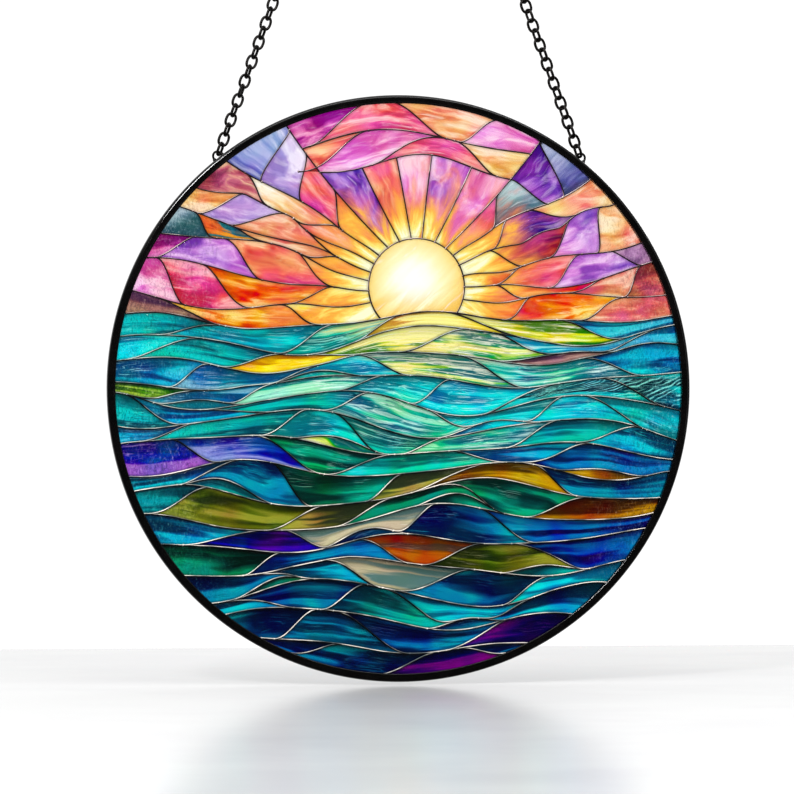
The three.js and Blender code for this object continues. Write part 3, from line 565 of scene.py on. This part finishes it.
def glass_material(name):
    """Streaked, part opal art glass. flow holds how far along and across its strip a point is (mm) and the piece's own
    seed;
    edge holds how near the lead it is (mm), the lean of the piece's tone (random, with a painted shade along the top of
    the sea pieces), and how far across the strip it is."""
    style, tones, stroke = SHEETS[name]
    tones = [lin(h) for h in tones.split()]
    stroke = lin(stroke)
    m = Nodes("glass_" + name)
    edge = m.sep(m.attr("edge"))
    u, v, seed = m.sep(m.attr("flow"))
    seed7 = m.math("MULTIPLY", seed, 17.3)
    at = m.place()
    px, py, pz = m.sep(at)
    sky = style in ("cloud", "two") or name in ("lavender", "umber", "brick", "dusk", "slate", "night")
    wx, wy, wz = m.sep(m.noise(m.vec("MULTIPLY", at, (48.0, 0.0, 62.0)), 1.0, 2.0, 0.5, 0.0, True))
    u = m.math("ADD", u, m.math("MULTIPLY", m.math("SUBTRACT", wx, 0.5), 26.0))
    v = m.math("ADD", v, m.math("MULTIPLY", m.math("SUBTRACT", wy, 0.5), 9.0 if sky else 6.5))

    # broad tone: soft clouds in the sky glass, long folds in the sea glass
    ku, kv, lean_ = (0.040, 0.075, 0.13) if style in ("cloud", "two") else (0.017, 0.080, 0.30)
    broad = m.noise(m.join(m.math("MULTIPLY", u, ku), m.math("MULTIPLY", v, kv), seed7), 1.0, 3.0 if sky else 2.0, 0.50 if sky else 0.42, 0.9 if sky else 0.7)
    tone = m.math("ADD", m.math("MULTIPLY", m.math("SUBTRACT", broad, 0.5), 1.35 if sky else m.span(pz, PANEL.z - 0.01, PANEL.z + 0.02, 1.75, 2.15)), 0.5)
    # the lean across the piece: random tone, with a painted shade along the top of the sea pieces
    tone = m.math("ADD", tone, m.math("MULTIPLY", edge[1], lean_))
    if style == "two":
        base = m.ramp(tone, [(0.37, tones[0]), (0.46, tones[1]), (0.56, tones[2]), (0.66, tones[3])])
    else:
        base = m.ramp(tone, [(0.34 if sky else 0.36, tones[0]), (0.46, tones[1]), (0.57, tones[2]), (0.70, tones[3])])
    # brush strokes that follow the strip
    ks = {"cloud": 0.16, "two": 0.2, "grain": 0.4, "stroke": 0.42, "foam": 0.38, "feather": 0.6}[style]
    fine = m.noise(m.join(m.math("MULTIPLY", u, 0.050 if sky else 0.034), m.math("MULTIPLY", v, ks), seed7), 1.0, 3.0, 0.52, 0.9)
    where = m.noise(m.vec("MULTIPLY", at, (42.0, 0.0, 60.0)), 1.0, 2.0, 0.5, 0.0)
    mid = m.span(m.math("ABSOLUTE", m.math("SUBTRACT", px, 0.015)), 0.105, 0.02, 0.15, 1.0)
    busy = m.math("MAXIMUM", m.span(where, 0.46, 0.60, 0.12, 1.0), m.math("MULTIPLY", mid, m.span(pz, PANEL.z - 0.05, PANEL.z, 0.0, 0.9)))
    busy = m.math("MULTIPLY", busy, m.span(pz, PANEL.z - 0.06, PANEL.z - 0.005, 0.30, 1.0))
    amount = {"cloud": 0.55, "two": 0.5, "grain": 0.35, "stroke": 0.55, "foam": 0.85, "feather": 0.2}[style]
    lo = {"foam": 0.515, "stroke": 0.585}.get(style, 0.57)
    base = m.mix(m.math("MULTIPLY", m.span(fine, 0.47, 0.34, 0.0, 0.34 if sky else 0.50), busy), base, tones[0])
    base = m.mix(m.math("MULTIPLY", m.span(fine, lo, lo + 0.12, 0.0, amount), busy), base, stroke)
    # curling lines of light and dark, as if drawn in the melt
    swirl = m.noise(m.join(m.math("MULTIPLY", u, 0.026), m.math("MULTIPLY", v, 0.19), m.math("ADD", seed7, 4.1)), 1.0, 2.0, 0.45, 1.2)
    line = m.math("ABSOLUTE", m.math("SUBTRACT", swirl, 0.53))
    base = m.mix(m.math("MULTIPLY", m.span(line, 0.020, 0.003, 0.0, 0.22 if sky else 0.70), busy), base, stroke)
    line = m.math("ABSOLUTE", m.math("SUBTRACT", swirl, 0.46))
    base = m.mix(m.math("MULTIPLY", m.span(line, 0.024, 0.004, 0.0, 0.10 if sky else 0.60), busy), base, tones[0])
    if not sky:
        # thin glints, thickest under the sun
        thin = m.noise(m.join(m.math("MULTIPLY", u, 0.075), m.math("MULTIPLY", v, 1.25), seed7), 1.0, 2.0, 0.5, 0.5)
        low = m.span(pz, PANEL.z - 0.085, PANEL.z + 0.01, 0.25, 1.0)
        gl = m.math("MULTIPLY", m.math("MULTIPLY", m.span(thin, 0.585, 0.66), m.span(where, 0.47, 0.58)), m.math("MULTIPLY", mid, low))
        base = m.mix(m.math("MULTIPLY", gl, 0.85), base, m.mix(0.5, stroke, (1, 1, 1, 1)))
    if style == "feather":
        # fine slanted barbs under a crest
        w = m.math("ADD", m.math("MULTIPLY", u, 0.55), m.math("MULTIPLY", v, -0.75))
        barb = m.math("SINE", m.math("MULTIPLY", w, 2.6))
        keep = m.noise(m.join(m.math("MULTIPLY", w, 0.5), m.math("MULTIPLY", v, 0.1), seed7), 1.0, 2.0, 0.5, 0.0)
        bf = m.math("MULTIPLY", m.span(barb, 0.1, 0.9), m.span(keep, 0.42, 0.56))
        base = m.mix(m.math("MULTIPLY", bf, 0.9), base, stroke)
    hs = m.t.nodes.new("ShaderNodeHueSaturation")
    m.put(hs.inputs["Saturation"], m.span(pz, PANEL.z + 0.02, PANEL.z - 0.02, 1.06 if sky else 1.24, 1.06 if sky else 1.34))
    m.put(hs.inputs["Hue"], m.math("ADD", 0.5, m.math("MULTIPLY", m.math("SUBTRACT", wz, 0.5), 0.22)))
    m.put(hs.inputs["Color"], base)
    base = hs.outputs[0]
    # the sea glass deepens towards the foot of the panel
    gm = m.t.nodes.new("ShaderNodeGamma")
    m.put(gm.inputs["Color"], base)
    m.put(gm.inputs["Gamma"], m.math("ADD", m.span(px, -0.05, -0.10, 0.0, 0.24 if sky else 0.0), m.span(pz, PANEL.z - 0.115, PANEL.z + 0.01, 1.0 if sky else 1.46, 0.96 if sky else 1.02, "LINEAR")))
    base = gm.outputs[0]
    # glow round the sun, ragged like flame
    ox, oy, oz = m.sep(m.vec("SUBTRACT", at, tuple(PANEL + Vector((SX, 0, SZ)) * MM)))
    far = m.vec("LENGTH", m.join(m.math("MULTIPLY", ox, 0.80), 0.0, oz), (0, 0, 0))
    ang = m.math("ARCTAN2", oz, ox)
    flame = m.noise(m.join(m.math("MULTIPLY", ang, 3.4), m.math("MULTIPLY", far, 26.0), m.math("MULTIPLY", seed, 0.35)), 1.0, 4.0, 0.6, 0.9)
    ragged = m.math("ADD", far, m.math("MULTIPLY", m.math("SUBTRACT", flame if sky else swirl, 0.5), 0.085 if sky else 0.06))
    if sky:
        glow = m.ramp(m.span(ragged, 0.018, 0.066, 0.0, 1.0, "LINEAR"),
                      [(0.0, lin("FFFCD0")), (0.16, lin("FFE878")), (0.32, lin("FDB844")), (0.58, lin("F4804A")), (0.86, lin("EC5C68"))])
        gf = m.span(ragged, 0.030, 0.062, 1.0, 0.0)
    else:
        glow = m.ramp(m.span(ragged, 0.022, 0.06, 0.0, 1.0, "LINEAR"),
                      [(0.0, lin("FFF6A0")), (0.30, lin("FAD82C")), (0.56, lin("C0CC2C")), (0.9, lin("18AC88"))])
        gf = m.math("MULTIPLY", m.span(ragged, 0.018, 0.046, 0.78, 0.0), m.span(tone, 0.40, 0.62, 0.10, 1.0))
    base = m.mix(gf, base, glow)
    # crackled, flecked glass towards the left and right of the panel
    side = m.span(m.math("ABSOLUTE", m.math("SUBTRACT", px, 0.006)), 0.080, 0.120)
    side = m.math("MULTIPLY", side, 1.0 if style == "grain" else 0.8)
    g1 = m.noise(m.vec("MULTIPLY", at, (520.0, 300.0, 250.0)), 1.0, 4.0, 0.62, 2.2)
    base = m.mix(m.math("MULTIPLY", m.span(g1, 0.47, 0.38), m.math("MULTIPLY", side, 0.72)), base, m.mix(0.55, tones[0], lin("0C141C")))
    base = m.mix(m.math("MULTIPLY", m.span(g1, 0.55, 0.68), m.math("MULTIPLY", side, 0.46)), base, stroke)
    # shade along the lead
    shade = m.span(edge[0], 0.0, 1.7, 0.45 if not sky else 0.66, 1.0)
    if not sky:                                     # darkest under the line above, most of all low in the panel
        deep = m.span(pz, PANEL.z - 0.10, PANEL.z + 0.02, 0.66, 0.28)
        shade = m.math("MULTIPLY", shade, m.math("SUBTRACT", 1.0, m.math("MULTIPLY", m.span(edge[2], 0.45, 1.0), deep)))
    base = m.mix(1.0, base, m.join(shade, shade, shade), "MULTIPLY")
    hammer = m.math("ADD", m.math("MULTIPLY", g1, m.math("MULTIPLY", side, 0.9)), m.math("MULTIPLY", fine, 0.5))
    m.set(Base_Color=base, Roughness=0.11, IOR=1.5, Transmission_Weight=0.96, Specular_IOR_Level=0.25,
          Normal=m.bump(hammer, 0.35, 0.0004))
    return m.mat


def sun_material():
    m = Nodes("glass_sun")
    at = m.place()
    off = m.vec("SUBTRACT", at, tuple(PANEL + Vector((SX, 0, SZ)) * MM))
    x, y, z = m.sep(off)
    along = m.math("ADD", m.math("MULTIPLY", x, 0.72), m.math("MULTIPLY", z, 0.69))
    across = m.math("ADD", m.math("MULTIPLY", x, -0.69), m.math("MULTIPLY", z, 0.72))
    streak = m.noise(m.join(m.math("MULTIPLY", along, 26.0), m.math("MULTIPLY", across, 210.0), 3.7), 1.0, 4.0, 0.6, 0.5)
    d = m.vec("LENGTH", m.vec("ADD", off, (0.001, 0, -0.0035)), (0, 0, 0))
    d = m.math("ADD", d, m.math("MULTIPLY", m.math("SUBTRACT", streak, 0.5), 0.012))
    base = m.ramp(m.span(d, 0.0, 0.028, 0.0, 1.0, "LINEAR"),
                  [(0.0, lin("FFFFFF")), (0.30, lin("FFFDEC")), (0.52, lin("FFF4BE")), (0.76, lin("FCE08C")), (0.96, lin("F6C662"))])
    low = m.math("MULTIPLY", m.span(z, 0.002, -0.022), m.span(streak, 0.40, 0.58))
    base = m.mix(m.math("MULTIPLY", low, 0.85), base, lin("F2BC3C"))
    base = m.mix(m.span(streak, 0.58, 0.70, 0.0, 0.75), base, lin("FFFFFF"))
    edge = m.sep(m.attr("edge"))
    # painted shade along the lead
    shade = m.span(edge[0], 0.0, 1.8, 0.86, 1.0)
    base = m.mix(1.0, base, m.join(shade, shade, shade), "MULTIPLY")
    m.set(Base_Color=base, Roughness=0.13, IOR=1.5, Transmission_Weight=0.93, Normal=m.bump(streak, 0.15, 0.0003))
    return m.mat


def metal_material(name, dark, light, rough0, rough1, metallic, scale, bump=0.25, depth=0.0001, extra=None):
    m = Nodes(name)
    at = m.place()
    n = m.noise(at, scale, 5.0, 0.6, 0.4)
    f = m.noise(at, scale * 9.0, 3.0, 0.6, 0.0)
    c = m.ramp(n, [(0.36, lin(dark)), (0.64, lin(light))])
    if extra:
        c = m.mix(m.span(f, 0.60, 0.70, 0.0, 0.8), c, lin(extra))
    r = m.span(m.math("ADD", m.math("MULTIPLY", n, 0.7), m.math("MULTIPLY", f, 0.3)), 0.4, 0.62, rough0, rough1)
    m.set(Base_Color=c, Metallic=metallic, Roughness=r, Normal=m.bump(f, bump, depth))
    return m.mat


def lead_material():
    """Solder lines: black patina, with a painted highlight along the upper shoulder of each line, as if lit from above;
    the painted highlight is rosy grey in the sky and grey to cream in the sea, palest low in the panel. The shoulder
    attribute tells how far up the shoulder a point lies, from -1 at the lower edge to 1 at the upper edge."""
    m = Nodes("leading_solder")
    at = m.place()
    px, py, pz = m.sep(at)
    highlight_side = m.sep(m.attr("highlight_side"))[0]
    n = m.noise(at, 70.0, 3.0, 0.5, 0.3)
    sea = m.span(pz, PANEL.z + 0.045, PANEL.z + 0.028)
    # painted highlight: the upper shoulder of each bead is coloured pale as if lit from above, broken up by noise and
    # wider in the sea
    bright = m.span(m.math("ADD", m.math("SUBTRACT", highlight_side, m.span(sea, 0.0, 1.0, 0.34, 0.14)), m.math("MULTIPLY", m.math("SUBTRACT", n, 0.5), 1.1)), -0.04, 0.26)
    low = m.mix(m.span(pz, PANEL.z + 0.01, PANEL.z - 0.05), lin("B8C4BE"), lin("F4EADE"))
    pale = m.mix(sea, m.mix(m.span(n, 0.38, 0.62), lin("94787C"), lin("E6D0CC")), m.mix(m.span(n, 0.34, 0.60), lin("7C8686"), low))
    c = m.mix(bright, m.mix(sea, lin("1C0E12"), lin("040506")), pale)
    m.set(Base_Color=c, Metallic=0.15, Roughness=0.36, Specular_IOR_Level=0.3)
    return m.mat


mat_lead = lead_material()
mat_rim = metal_material("rim_black", "020202", "060505", 0.06, 0.12, 0.0, 90.0, 0.06, 0.00005, "0C0A0A")
mat_chain = metal_material("chain_black", "0C0A09", "1C1815", 0.30, 0.44, 0.75, 300.0, 0.3, 0.0001, "2E2924")


# ------------------------------------------------------------------ glass
def piece_mesh(st, i, name, mat):
    P, f0, f1 = st["P"], st["sides"][i], st["sides"][i + 1]
    INSET, T = 0.22, 1.5
    length = abs(f1(0.5) - f0(0.5))
    a, b = P(f0(0.5), 0.5), P(f1(0.5), 0.5)
    size = hypot(b[0] - a[0], b[1] - a[1])
    nt, ns = max(10, min(40, int(size / 1.7))), 11
    # the grid, held a little inside the lines
    grid = []
    for r in range(ns + 1):
        w = r / ns
        row = []
        for c in range(nt + 1):
            q = c / nt
            w2 = w
            for _ in range(2):
                t = lerp(f0(w2), f1(w2), q)
                lo, hi = P(t, 0.0), P(t, 1.0)
                wide = hypot(hi[0] - lo[0], hi[1] - lo[1])
                ins = min(0.3, INSET / max(wide, 0.05))
                s = ins + (1 - 2 * ins) * smooth(w)
                w2 = inv_smooth(s)
            ta, tb = f0(w2), f1(w2)
            pa_, pb_ = P(ta, s), P(tb, s)
            span = hypot(pb_[0] - pa_[0], pb_[1] - pa_[1])
            ins_q = min(0.3, INSET / max(span, 0.05))
            q2 = ins_q + (1 - 2 * ins_q) * q
            t = lerp(ta, tb, q2)
            row.append((t, s, P(t, s), q2))
        grid.append(row)
    return grid, nt, ns


def inv_smooth(s):
    s = max(0.0, min(1.0, s))
    return 0.5 - sin(asin(1 - 2 * s) / 3)


def distance_to_outline(grid, nt, ns):
    outline = [grid[0][c][2] for c in range(nt + 1)] + [grid[r][nt][2] for r in range(1, ns + 1)]
    outline += [grid[ns][nt - c][2] for c in range(1, nt + 1)] + [grid[ns - r][0][2] for r in range(1, ns)]
    n = len(outline)

    def dist(p):
        best = 1e9
        for j in range(n):
            a, b = outline[j], outline[(j + 1) % n]
            dx, dz = b[0] - a[0], b[1] - a[1]
            L2 = dx * dx + dz * dz
            t = 0 if L2 == 0 else max(0, min(1, ((p[0] - a[0]) * dx + (p[1] - a[1]) * dz) / L2))
            e = (p[0] - a[0] - t * dx) ** 2 + (p[1] - a[1] - t * dz) ** 2
            if e < best:
                best = e
        return sqrt(best)
    return dist


def build_glass(st, i, name, mat, seed, u0):
    grid, nt, ns = piece_mesh(st, i, name, mat)
    dist = distance_to_outline(grid, nt, ns)
    W = nt + 1
    verts, flow, edge = [], [], []
    # length along the strip at its middle
    mid = [grid[ns // 2][c][2] for c in range(W)]
    run = [0.0]
    for c in range(1, W):
        run.append(run[-1] + hypot(mid[c][0] - mid[c - 1][0], mid[c][1] - mid[c - 1][1]))
    wide = max(hypot(grid[ns][c][2][0] - grid[0][c][2][0], grid[ns][c][2][1] - grid[0][c][2][1]) for c in range(W))
    ga, gb = sin(seed * 12.9), sin(seed * 7.7 + 1.0)
    if st["kind"] in ("sea", "crest"):              # most of the sea glass gets a painted shade along its top, under the line above
        ga = 0.6 * ga - 0.55
    near = [[dist(grid[r][c][2]) if 0 < r < ns and 0 < c < nt else 0.0 for c in range(W)] for r in range(ns + 1)]
    for front in (True, False):
        for r in range(ns + 1):
            for c in range(W):
                t, s, p, q = grid[r][c]
                d = near[r][c]
                x, z = p[0], p[1]
                ripple = 0.10 * noise.noise((x / 9.0, z / 5.0, 3.1 if front else 9.7)) + 0.05 * noise.noise((x / 3.1, z / 2.3, 7.7 if front else 1.3))
                y = 1.42 + ripple * min(1, d / 1.5) - 0.25 * (1 - smooth(d / 1.1))
                verts.append((PANEL.x + x * MM, PANEL.y + (-y if front else y) * MM, PANEL.z + z * MM))
                flow.append((u0 + run[c], (s - 0.5) * wide, seed))
                edge.append((d, 2 * ga * (s - 0.5) + 1.4 * gb * (q - 0.5), s))
    faces = []
    N = (ns + 1) * W
    for r in range(ns):
        for c in range(nt):
            a, b, d_, e = r * W + c, r * W + c + 1, (r + 1) * W + c + 1, (r + 1) * W + c
            faces.append((a, b, d_, e))
            faces.append((N + a, N + e, N + d_, N + b))
    rim = [c for c in range(W)] + [r * W + nt for r in range(1, ns + 1)] + [ns * W + nt - c for c in range(1, W)] + [(ns - r) * W for r in range(1, ns)]
    for j in range(len(rim)):
        a, b = rim[j], rim[(j + 1) % len(rim)]
        faces.append((b, a, N + a, N + b))
    # turn the faces out if the grid runs the other way
    p, q, r_ = Vector(verts[0 * W]), Vector(verts[nt]), Vector(verts[ns * W])
    if (q - p).cross(r_ - p).y > 0:
        faces = [tuple(reversed(f)) for f in faces]
    o = make_object(name, verts, faces, True, [mat])
    me = o.data
    for key, data in (("flow", flow), ("edge", edge)):
        at = me.attributes.new(key, "FLOAT_VECTOR", "POINT")
        at.data.foreach_set("vector", [x for v in data for x in v])
    me.set_sharp_from_angle(angle=radians(50))
    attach(o, "root")
    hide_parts(st["node"])
    return run[-1]


mats = {}
pick = rng(90210)
for st in strips:
    n = len(st["sides"]) - 1
    names = ["sun"] if st["kind"] == "sun" else PIECES[st["key"]].split()
    u0 = 0.0
    for i in range(n):
        sheet = names[i % len(names)]
        if sheet not in mats:
            mats[sheet] = sun_material() if sheet == "sun" else glass_material(sheet)
        name = st["node"] + ("_%d" % (i + 1) if n > 1 else "_pane")
        u0 += build_glass(st, i, name, mats[sheet], pick(0.0, 10.0), u0)


# ------------------------------------------------------------------ leading
def tube(path, section, closed=False, frame_of=None):
    """Verts and faces of a section carried along a path. section gives (side, up) offsets for a place j;
    frame_of gives the two directions there."""
    V, F = [], []
    n = len(path)
    for j, p in enumerate(path):
        side, up = frame_of(j)
        for a, b in section(j):
            V.append(p + side * a + up * b)
    m = len(section(0))
    for j in range(n if closed else n - 1):
        k = (j + 1) % n
        for c in range(m):
            d = (c + 1) % m
            F.append((j * m + c, j * m + d, k * m + d, k * m + c))
    if not closed:
        F.append(tuple(range(m - 1, -1, -1)))
        F.append(tuple((n - 1) * m + c for c in range(m)))
    return V, F


def merge(parts):
    V, F = [], []
    for v, f in parts:
        o = len(V)
        V += v
        F += [tuple(i + o for i in q) for q in f]
    return V, F


def bead(line, half, depth, wobble):
    pts = [Vector((x, 0, z)) for x, z in line]
    n = len(pts)

    def frame_of(j):
        a, b = pts[max(0, j - 1)], pts[min(n - 1, j + 1)]
        d = (b - a).normalized()
        return Vector((-d.z, 0, d.x)), Vector((0, 1, 0))

    def section(j):
        p = pts[j]
        k = 1 + 0.20 * noise.noise((p.x / 11, p.z / 11, wobble))
        out = []
        for c in range(12):
            a = 2 * pi * (c + 0.5) / 12
            out.append((half * (0.86 if p.z > 40 else 1.0) * k * cos(a), depth * (1 + 0.03 * (k - 1)) * (abs(sin(a)) ** 0.75) * (1 if sin(a) > 0 else -1)))
        return out
    V, F = tube(pts, section, False, frame_of)
    for j in range(n):
        side = frame_of(j)[0]
        # painted highlight: how far each point of the bead lies towards its upper-left, lit side
        highlight_side.extend((0.8 * side.z - 0.6 * side.x) * cos(2 * pi * (c + 0.5) / 12) for c in range(12))
    return [PANEL + v * MM for v in V], F


def blob(c, r, ry, seg=10, rings=6):
    V = [c + Vector((0, -ry, 0)), c + Vector((0, ry, 0))]
    for i in range(1, rings):
        a = pi * i / rings
        for j in range(seg):
            b = 2 * pi * j / seg
            V.append(c + Vector((r * sin(a) * cos(b), -ry * cos(a), r * sin(a) * sin(b))))
    F = []
    for j in range(seg):
        k = (j + 1) % seg
        F.append((0, 2 + j, 2 + k))
        F.append((1, 2 + (rings - 2) * seg + k, 2 + (rings - 2) * seg + j))
        for i in range(rings - 2):
            a, b = 2 + i * seg, 2 + (i + 1) * seg
            F.append((a + j, b + j, b + k, a + k))
    return [PANEL + v * MM for v in V], F


parts, highlight_side = [], []
for j, line in enumerate(lines):
    parts.append(bead(line, 0.50, 2.0, j * 1.7))
dots = rng(777)
for x, z in knots:
    if hypot(x, z) < R - 2.5:
        s = dots(0.60, 0.80)
        vf = blob(Vector((x, 0, z)), s, 1.95 + 0.32 * s)
        # the same painted highlight on the upper-left of each solder dot
        highlight_side.extend(max(-1.0, min(1.0, 0.25 + (0.8 * (v.z - PANEL.z - z * MM) - 0.6 * (v.x - PANEL.x - x * MM)) / (s * MM))) for v in vf[0])
        parts.append(vf)
ring_line = [(R * cos(2 * pi * j / 128), R * sin(2 * pi * j / 128)) for j in range(128)]
pts = [Vector((x, 0, z)) for x, z in ring_line]
parts.append((lambda vf: ([PANEL + v * MM for v in vf[0]], vf[1]))(tube(
    pts, lambda j: [(0.5 * cos(pi * c / 4), 2.0 * sin(pi * c / 4)) for c in range(8)], True,
    lambda j: (pts[j].normalized(), Vector((0, 1, 0))))))
V, F = merge(parts)
# the lead round the glass edge gets no painted highlight
highlight_side += [-1.0] * (len(V) - len(highlight_side))
lead = make_object("leading_beads", V, F, True, [mat_lead])
at = lead.data.attributes.new("highlight_side", "FLOAT_VECTOR", "POINT")
at.data.foreach_set("vector", [x for r in highlight_side for x in (r, 0.0, 0.0)])
lead.data.set_sharp_from_angle(angle=radians(70))
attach(lead, "root")
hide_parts("leading")


# ------------------------------------------------------------------ rim: a rolled channel, rounded at its corners
def arc(cx, cy, r, a, b, n):
    return [(cx + r * cos(radians(lerp(a, b, i / n))), cy + r * sin(radians(lerp(a, b, i / n)))) for i in range(n + 1)]


def half_profile():                                 # (radius, outward from the middle of the depth), the front half
    p = [(149.92, 0.0), (149.92, 1.5)]
    p += arc(148.12, 1.7, 1.8, 0, 90, 9)
    p += [(147.4, 3.49), (146.9, 3.44)]
    p += arc(146.2, 2.95, 0.60, 60, 180, 6)
    p += [(145.6, 2.62), (145.8, 2.46), (146.6, 2.45), (147.7, 2.45), (147.7, 0.0)]
    return p


hp = half_profile()
profile = hp + [(r, -y) for r, y in reversed(hp[1:-1])]
SEG = 256
V, F = [], []
for j in range(SEG):
    a = 2 * pi * j / SEG
    for r, y in profile:
        V.append(PANEL + Vector((r * cos(a), -y, r * sin(a))) * MM)
m_ = len(profile)
for j in range(SEG):
    k = (j + 1) % SEG
    for c in range(m_):
        d = (c + 1) % m_
        F.append((j * m_ + c, k * m_ + c, k * m_ + d, j * m_ + d))
rim = make_object("rim_channel", V, F, True, [mat_rim])
rim.data.set_sharp_from_angle(angle=radians(42))
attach(rim, "root")
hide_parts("rim")

# ------------------------------------------------------------------ ring, eyes, chains
RING_IN_R, RING_WIRE, LINK_WIRE, LINK_PITCH, LINK_W, LINKS, FIT = 5.5, 1.8, 1.2, 5.25, 5.9, 51, 0.32
LINK_L = LINK_PITCH + 2 * LINK_WIRE
EYE_ANGLE, EYE_WIRE, EYE_HALF, EYE_RISE, EYE_ROOT = 38.3, 1.2, 2.4, 3.0, 150.3
ring_r = RING_IN_R + RING_WIRE / 2
ring_bar = ring_r - RING_WIRE / 2 - LINK_WIRE / 2 - FIT
bar_gap = EYE_WIRE / 2 + LINK_WIRE / 2 + FIT
run_len = (LINKS - 1) * LINK_PITCH + LINK_L - LINK_WIRE + ring_bar


def bearing(lean):
    e = radians(EYE_ANGLE)
    rd, tg, u = (-sin(e), cos(e)), (cos(e), sin(e)), (sin(lean), cos(lean))
    ur, ut = u[0] * rd[0] + u[1] * rd[1], u[0] * tg[0] + u[1] * tg[1]
    phi = atan2(ur * EYE_RISE, ut * EYE_HALF)
    a, b = EYE_HALF * cos(phi), EYE_ROOT - 0.3 + EYE_RISE * sin(phi)
    return (rd[0] * b + tg[0] * a - u[0] * bar_gap, rd[1] * b + tg[1] * a - u[1] * bar_gap)


lean = radians(20)
for _ in range(12):
    lean = asin(-bearing(lean)[0] / run_len)


def wire_loop(centre, along, side, half_l, half_w, wire, power=2.35, n=30, m=10, seam=0.0):
    """An oval loop of round wire in the plane of along and side."""
    normal = along.cross(side).normalized()
    path, tang = [], []
    for j in range(n):
        a = 2 * pi * j / n
        ca, sa = cos(a), sin(a)
        path.append(centre + along * (half_l * abs(ca) ** (2 / power) * (1 if ca > 0 else -1))
                    + side * (half_w * abs(sa) ** (2 / power) * (1 if sa > 0 else -1)))

    def frame_of(j):
        d = (path[(j + 1) % n] - path[j - 1]).normalized()
        return d.cross(normal).normalized(), normal

    def section(j):
        r = wire / 2
        if seam and abs(j - n // 4) < 1:
            r *= 1 - seam
        return [(r * cos(2 * pi * c / m), r * sin(2 * pi * c / m)) for c in range(m)]
    V, F = tube(path, section, True, frame_of)
    return [v * MM for v in V], F


ring_c = RING_C / MM
Y = Vector((0, 1, 0))
turn = rng(31)
for side_name, mirror in (("left", 1), ("right", -1)):
    d = Vector((-sin(lean) * mirror, 0, -cos(lean)))
    s0, s1 = Y, d.cross(Y).normalized()
    parts = []
    for i in range(LINKS):
        c = ring_c + d * (ring_bar + (LINK_L - LINK_WIRE) / 2 + i * LINK_PITCH)
        side = s1 if i % 2 else s0
        twist = radians(turn(-7, 7) if i % 2 else 24 * mirror + turn(-6, 6))
        other = d.cross(side).normalized()
        side = (side * cos(twist) + other * sin(twist)).normalized()
        parts.append(wire_loop(c, d, side, (LINK_L - LINK_WIRE) / 2, (LINK_W - LINK_WIRE) / 2, 1.46, 2.5, 28, 9, 0.05))
    V, F = merge(parts)
    o = make_object("chain_%s_links" % side_name, V, F, True, [mat_chain])
    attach(o, "root")
    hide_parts("chain_" + side_name)
    # the eye: a half loop of wire, its feet soldered to the rim
    e = radians(EYE_ANGLE)
    rd, tg = Vector((-sin(e) * mirror, 0, cos(e))), Vector((cos(e) * mirror, 0, sin(e)))
    n = 22
    path = []
    for j in range(n + 1):
        a = pi * (j / n) * 1.16 - pi * 0.08
        path.append(PANEL / MM + rd * (EYE_ROOT - 0.2 + EYE_RISE * sin(a)) + tg * (EYE_HALF * cos(a)))

    def eye_frame(j):
        dd = (path[min(n, j + 1)] - path[max(0, j - 1)]).normalized()
        return dd.cross(Y).normalized(), Y
    V1, F1 = tube(path, lambda j: [(EYE_WIRE / 2 * cos(2 * pi * c / 12), EYE_WIRE / 2 * sin(2 * pi * c / 12)) for c in range(12)], False, eye_frame)
    parts = [([v * MM for v in V1], F1)]
    for sgn in (-1, 1):
        foot = rd * (EYE_ROOT - 0.3) + tg * (EYE_HALF * sgn)
        parts.append(blob(foot, 1.05, 1.0, 14, 8))
    V, F = merge(parts)
    o = make_object("eye_%s_wire" % side_name, V, F, True, [mat_chain])
    o.data.set_sharp_from_angle(angle=radians(60))
    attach(o, "root")
    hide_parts("eye_" + side_name)

V, F = wire_loop(ring_c, Vector((0, 0, 1)), Vector((1, 0, 0)), ring_r, ring_r, RING_WIRE, 2.0, 72, 16, 0.10)
ring = make_object("hanging_ring_wire", V, F, True, [mat_chain])
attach(ring, "root")
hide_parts("hanging_ring")

# ------------------------------------------------------------------ floor
m = Nodes("floor_pale")
at = m.place()
n1 = m.noise(at, 6.0, 4.0, 0.5, 0.0)
m.set(Base_Color=m.ramp(n1, [(0.35, lin("DCDCDD")), (0.65, lin("E2E2E2"))]), Roughness=m.span(n1, 0.4, 0.6, 0.145, 0.155))
fz = PANEL.z - 0.1512
FW, FB, FN, B = 1.1, 0.40, 2.2, 0.012
prof = [(-FN, -0.03), (-FN, -B), (-FN + B * 0.3, -B * 0.3), (-FN + B, 0), (FB - B, 0), (FB - B * 0.3, -B * 0.3), (FB, -B), (FB, -0.03)]
V = [(x, y, fz + z) for x in (-FW, FW) for y, z in prof]
k = len(prof)
F = [(c, (c + 1) % k, (c + 1) % k + k, c + k) for c in range(k)] + [tuple(range(k - 1, -1, -1)), tuple(range(k, 2 * k))]
floor = make_object("floor", V, F, False, [m.mat])
floor.visible_glossy = False          # no pale veil of the floor over the dark glass
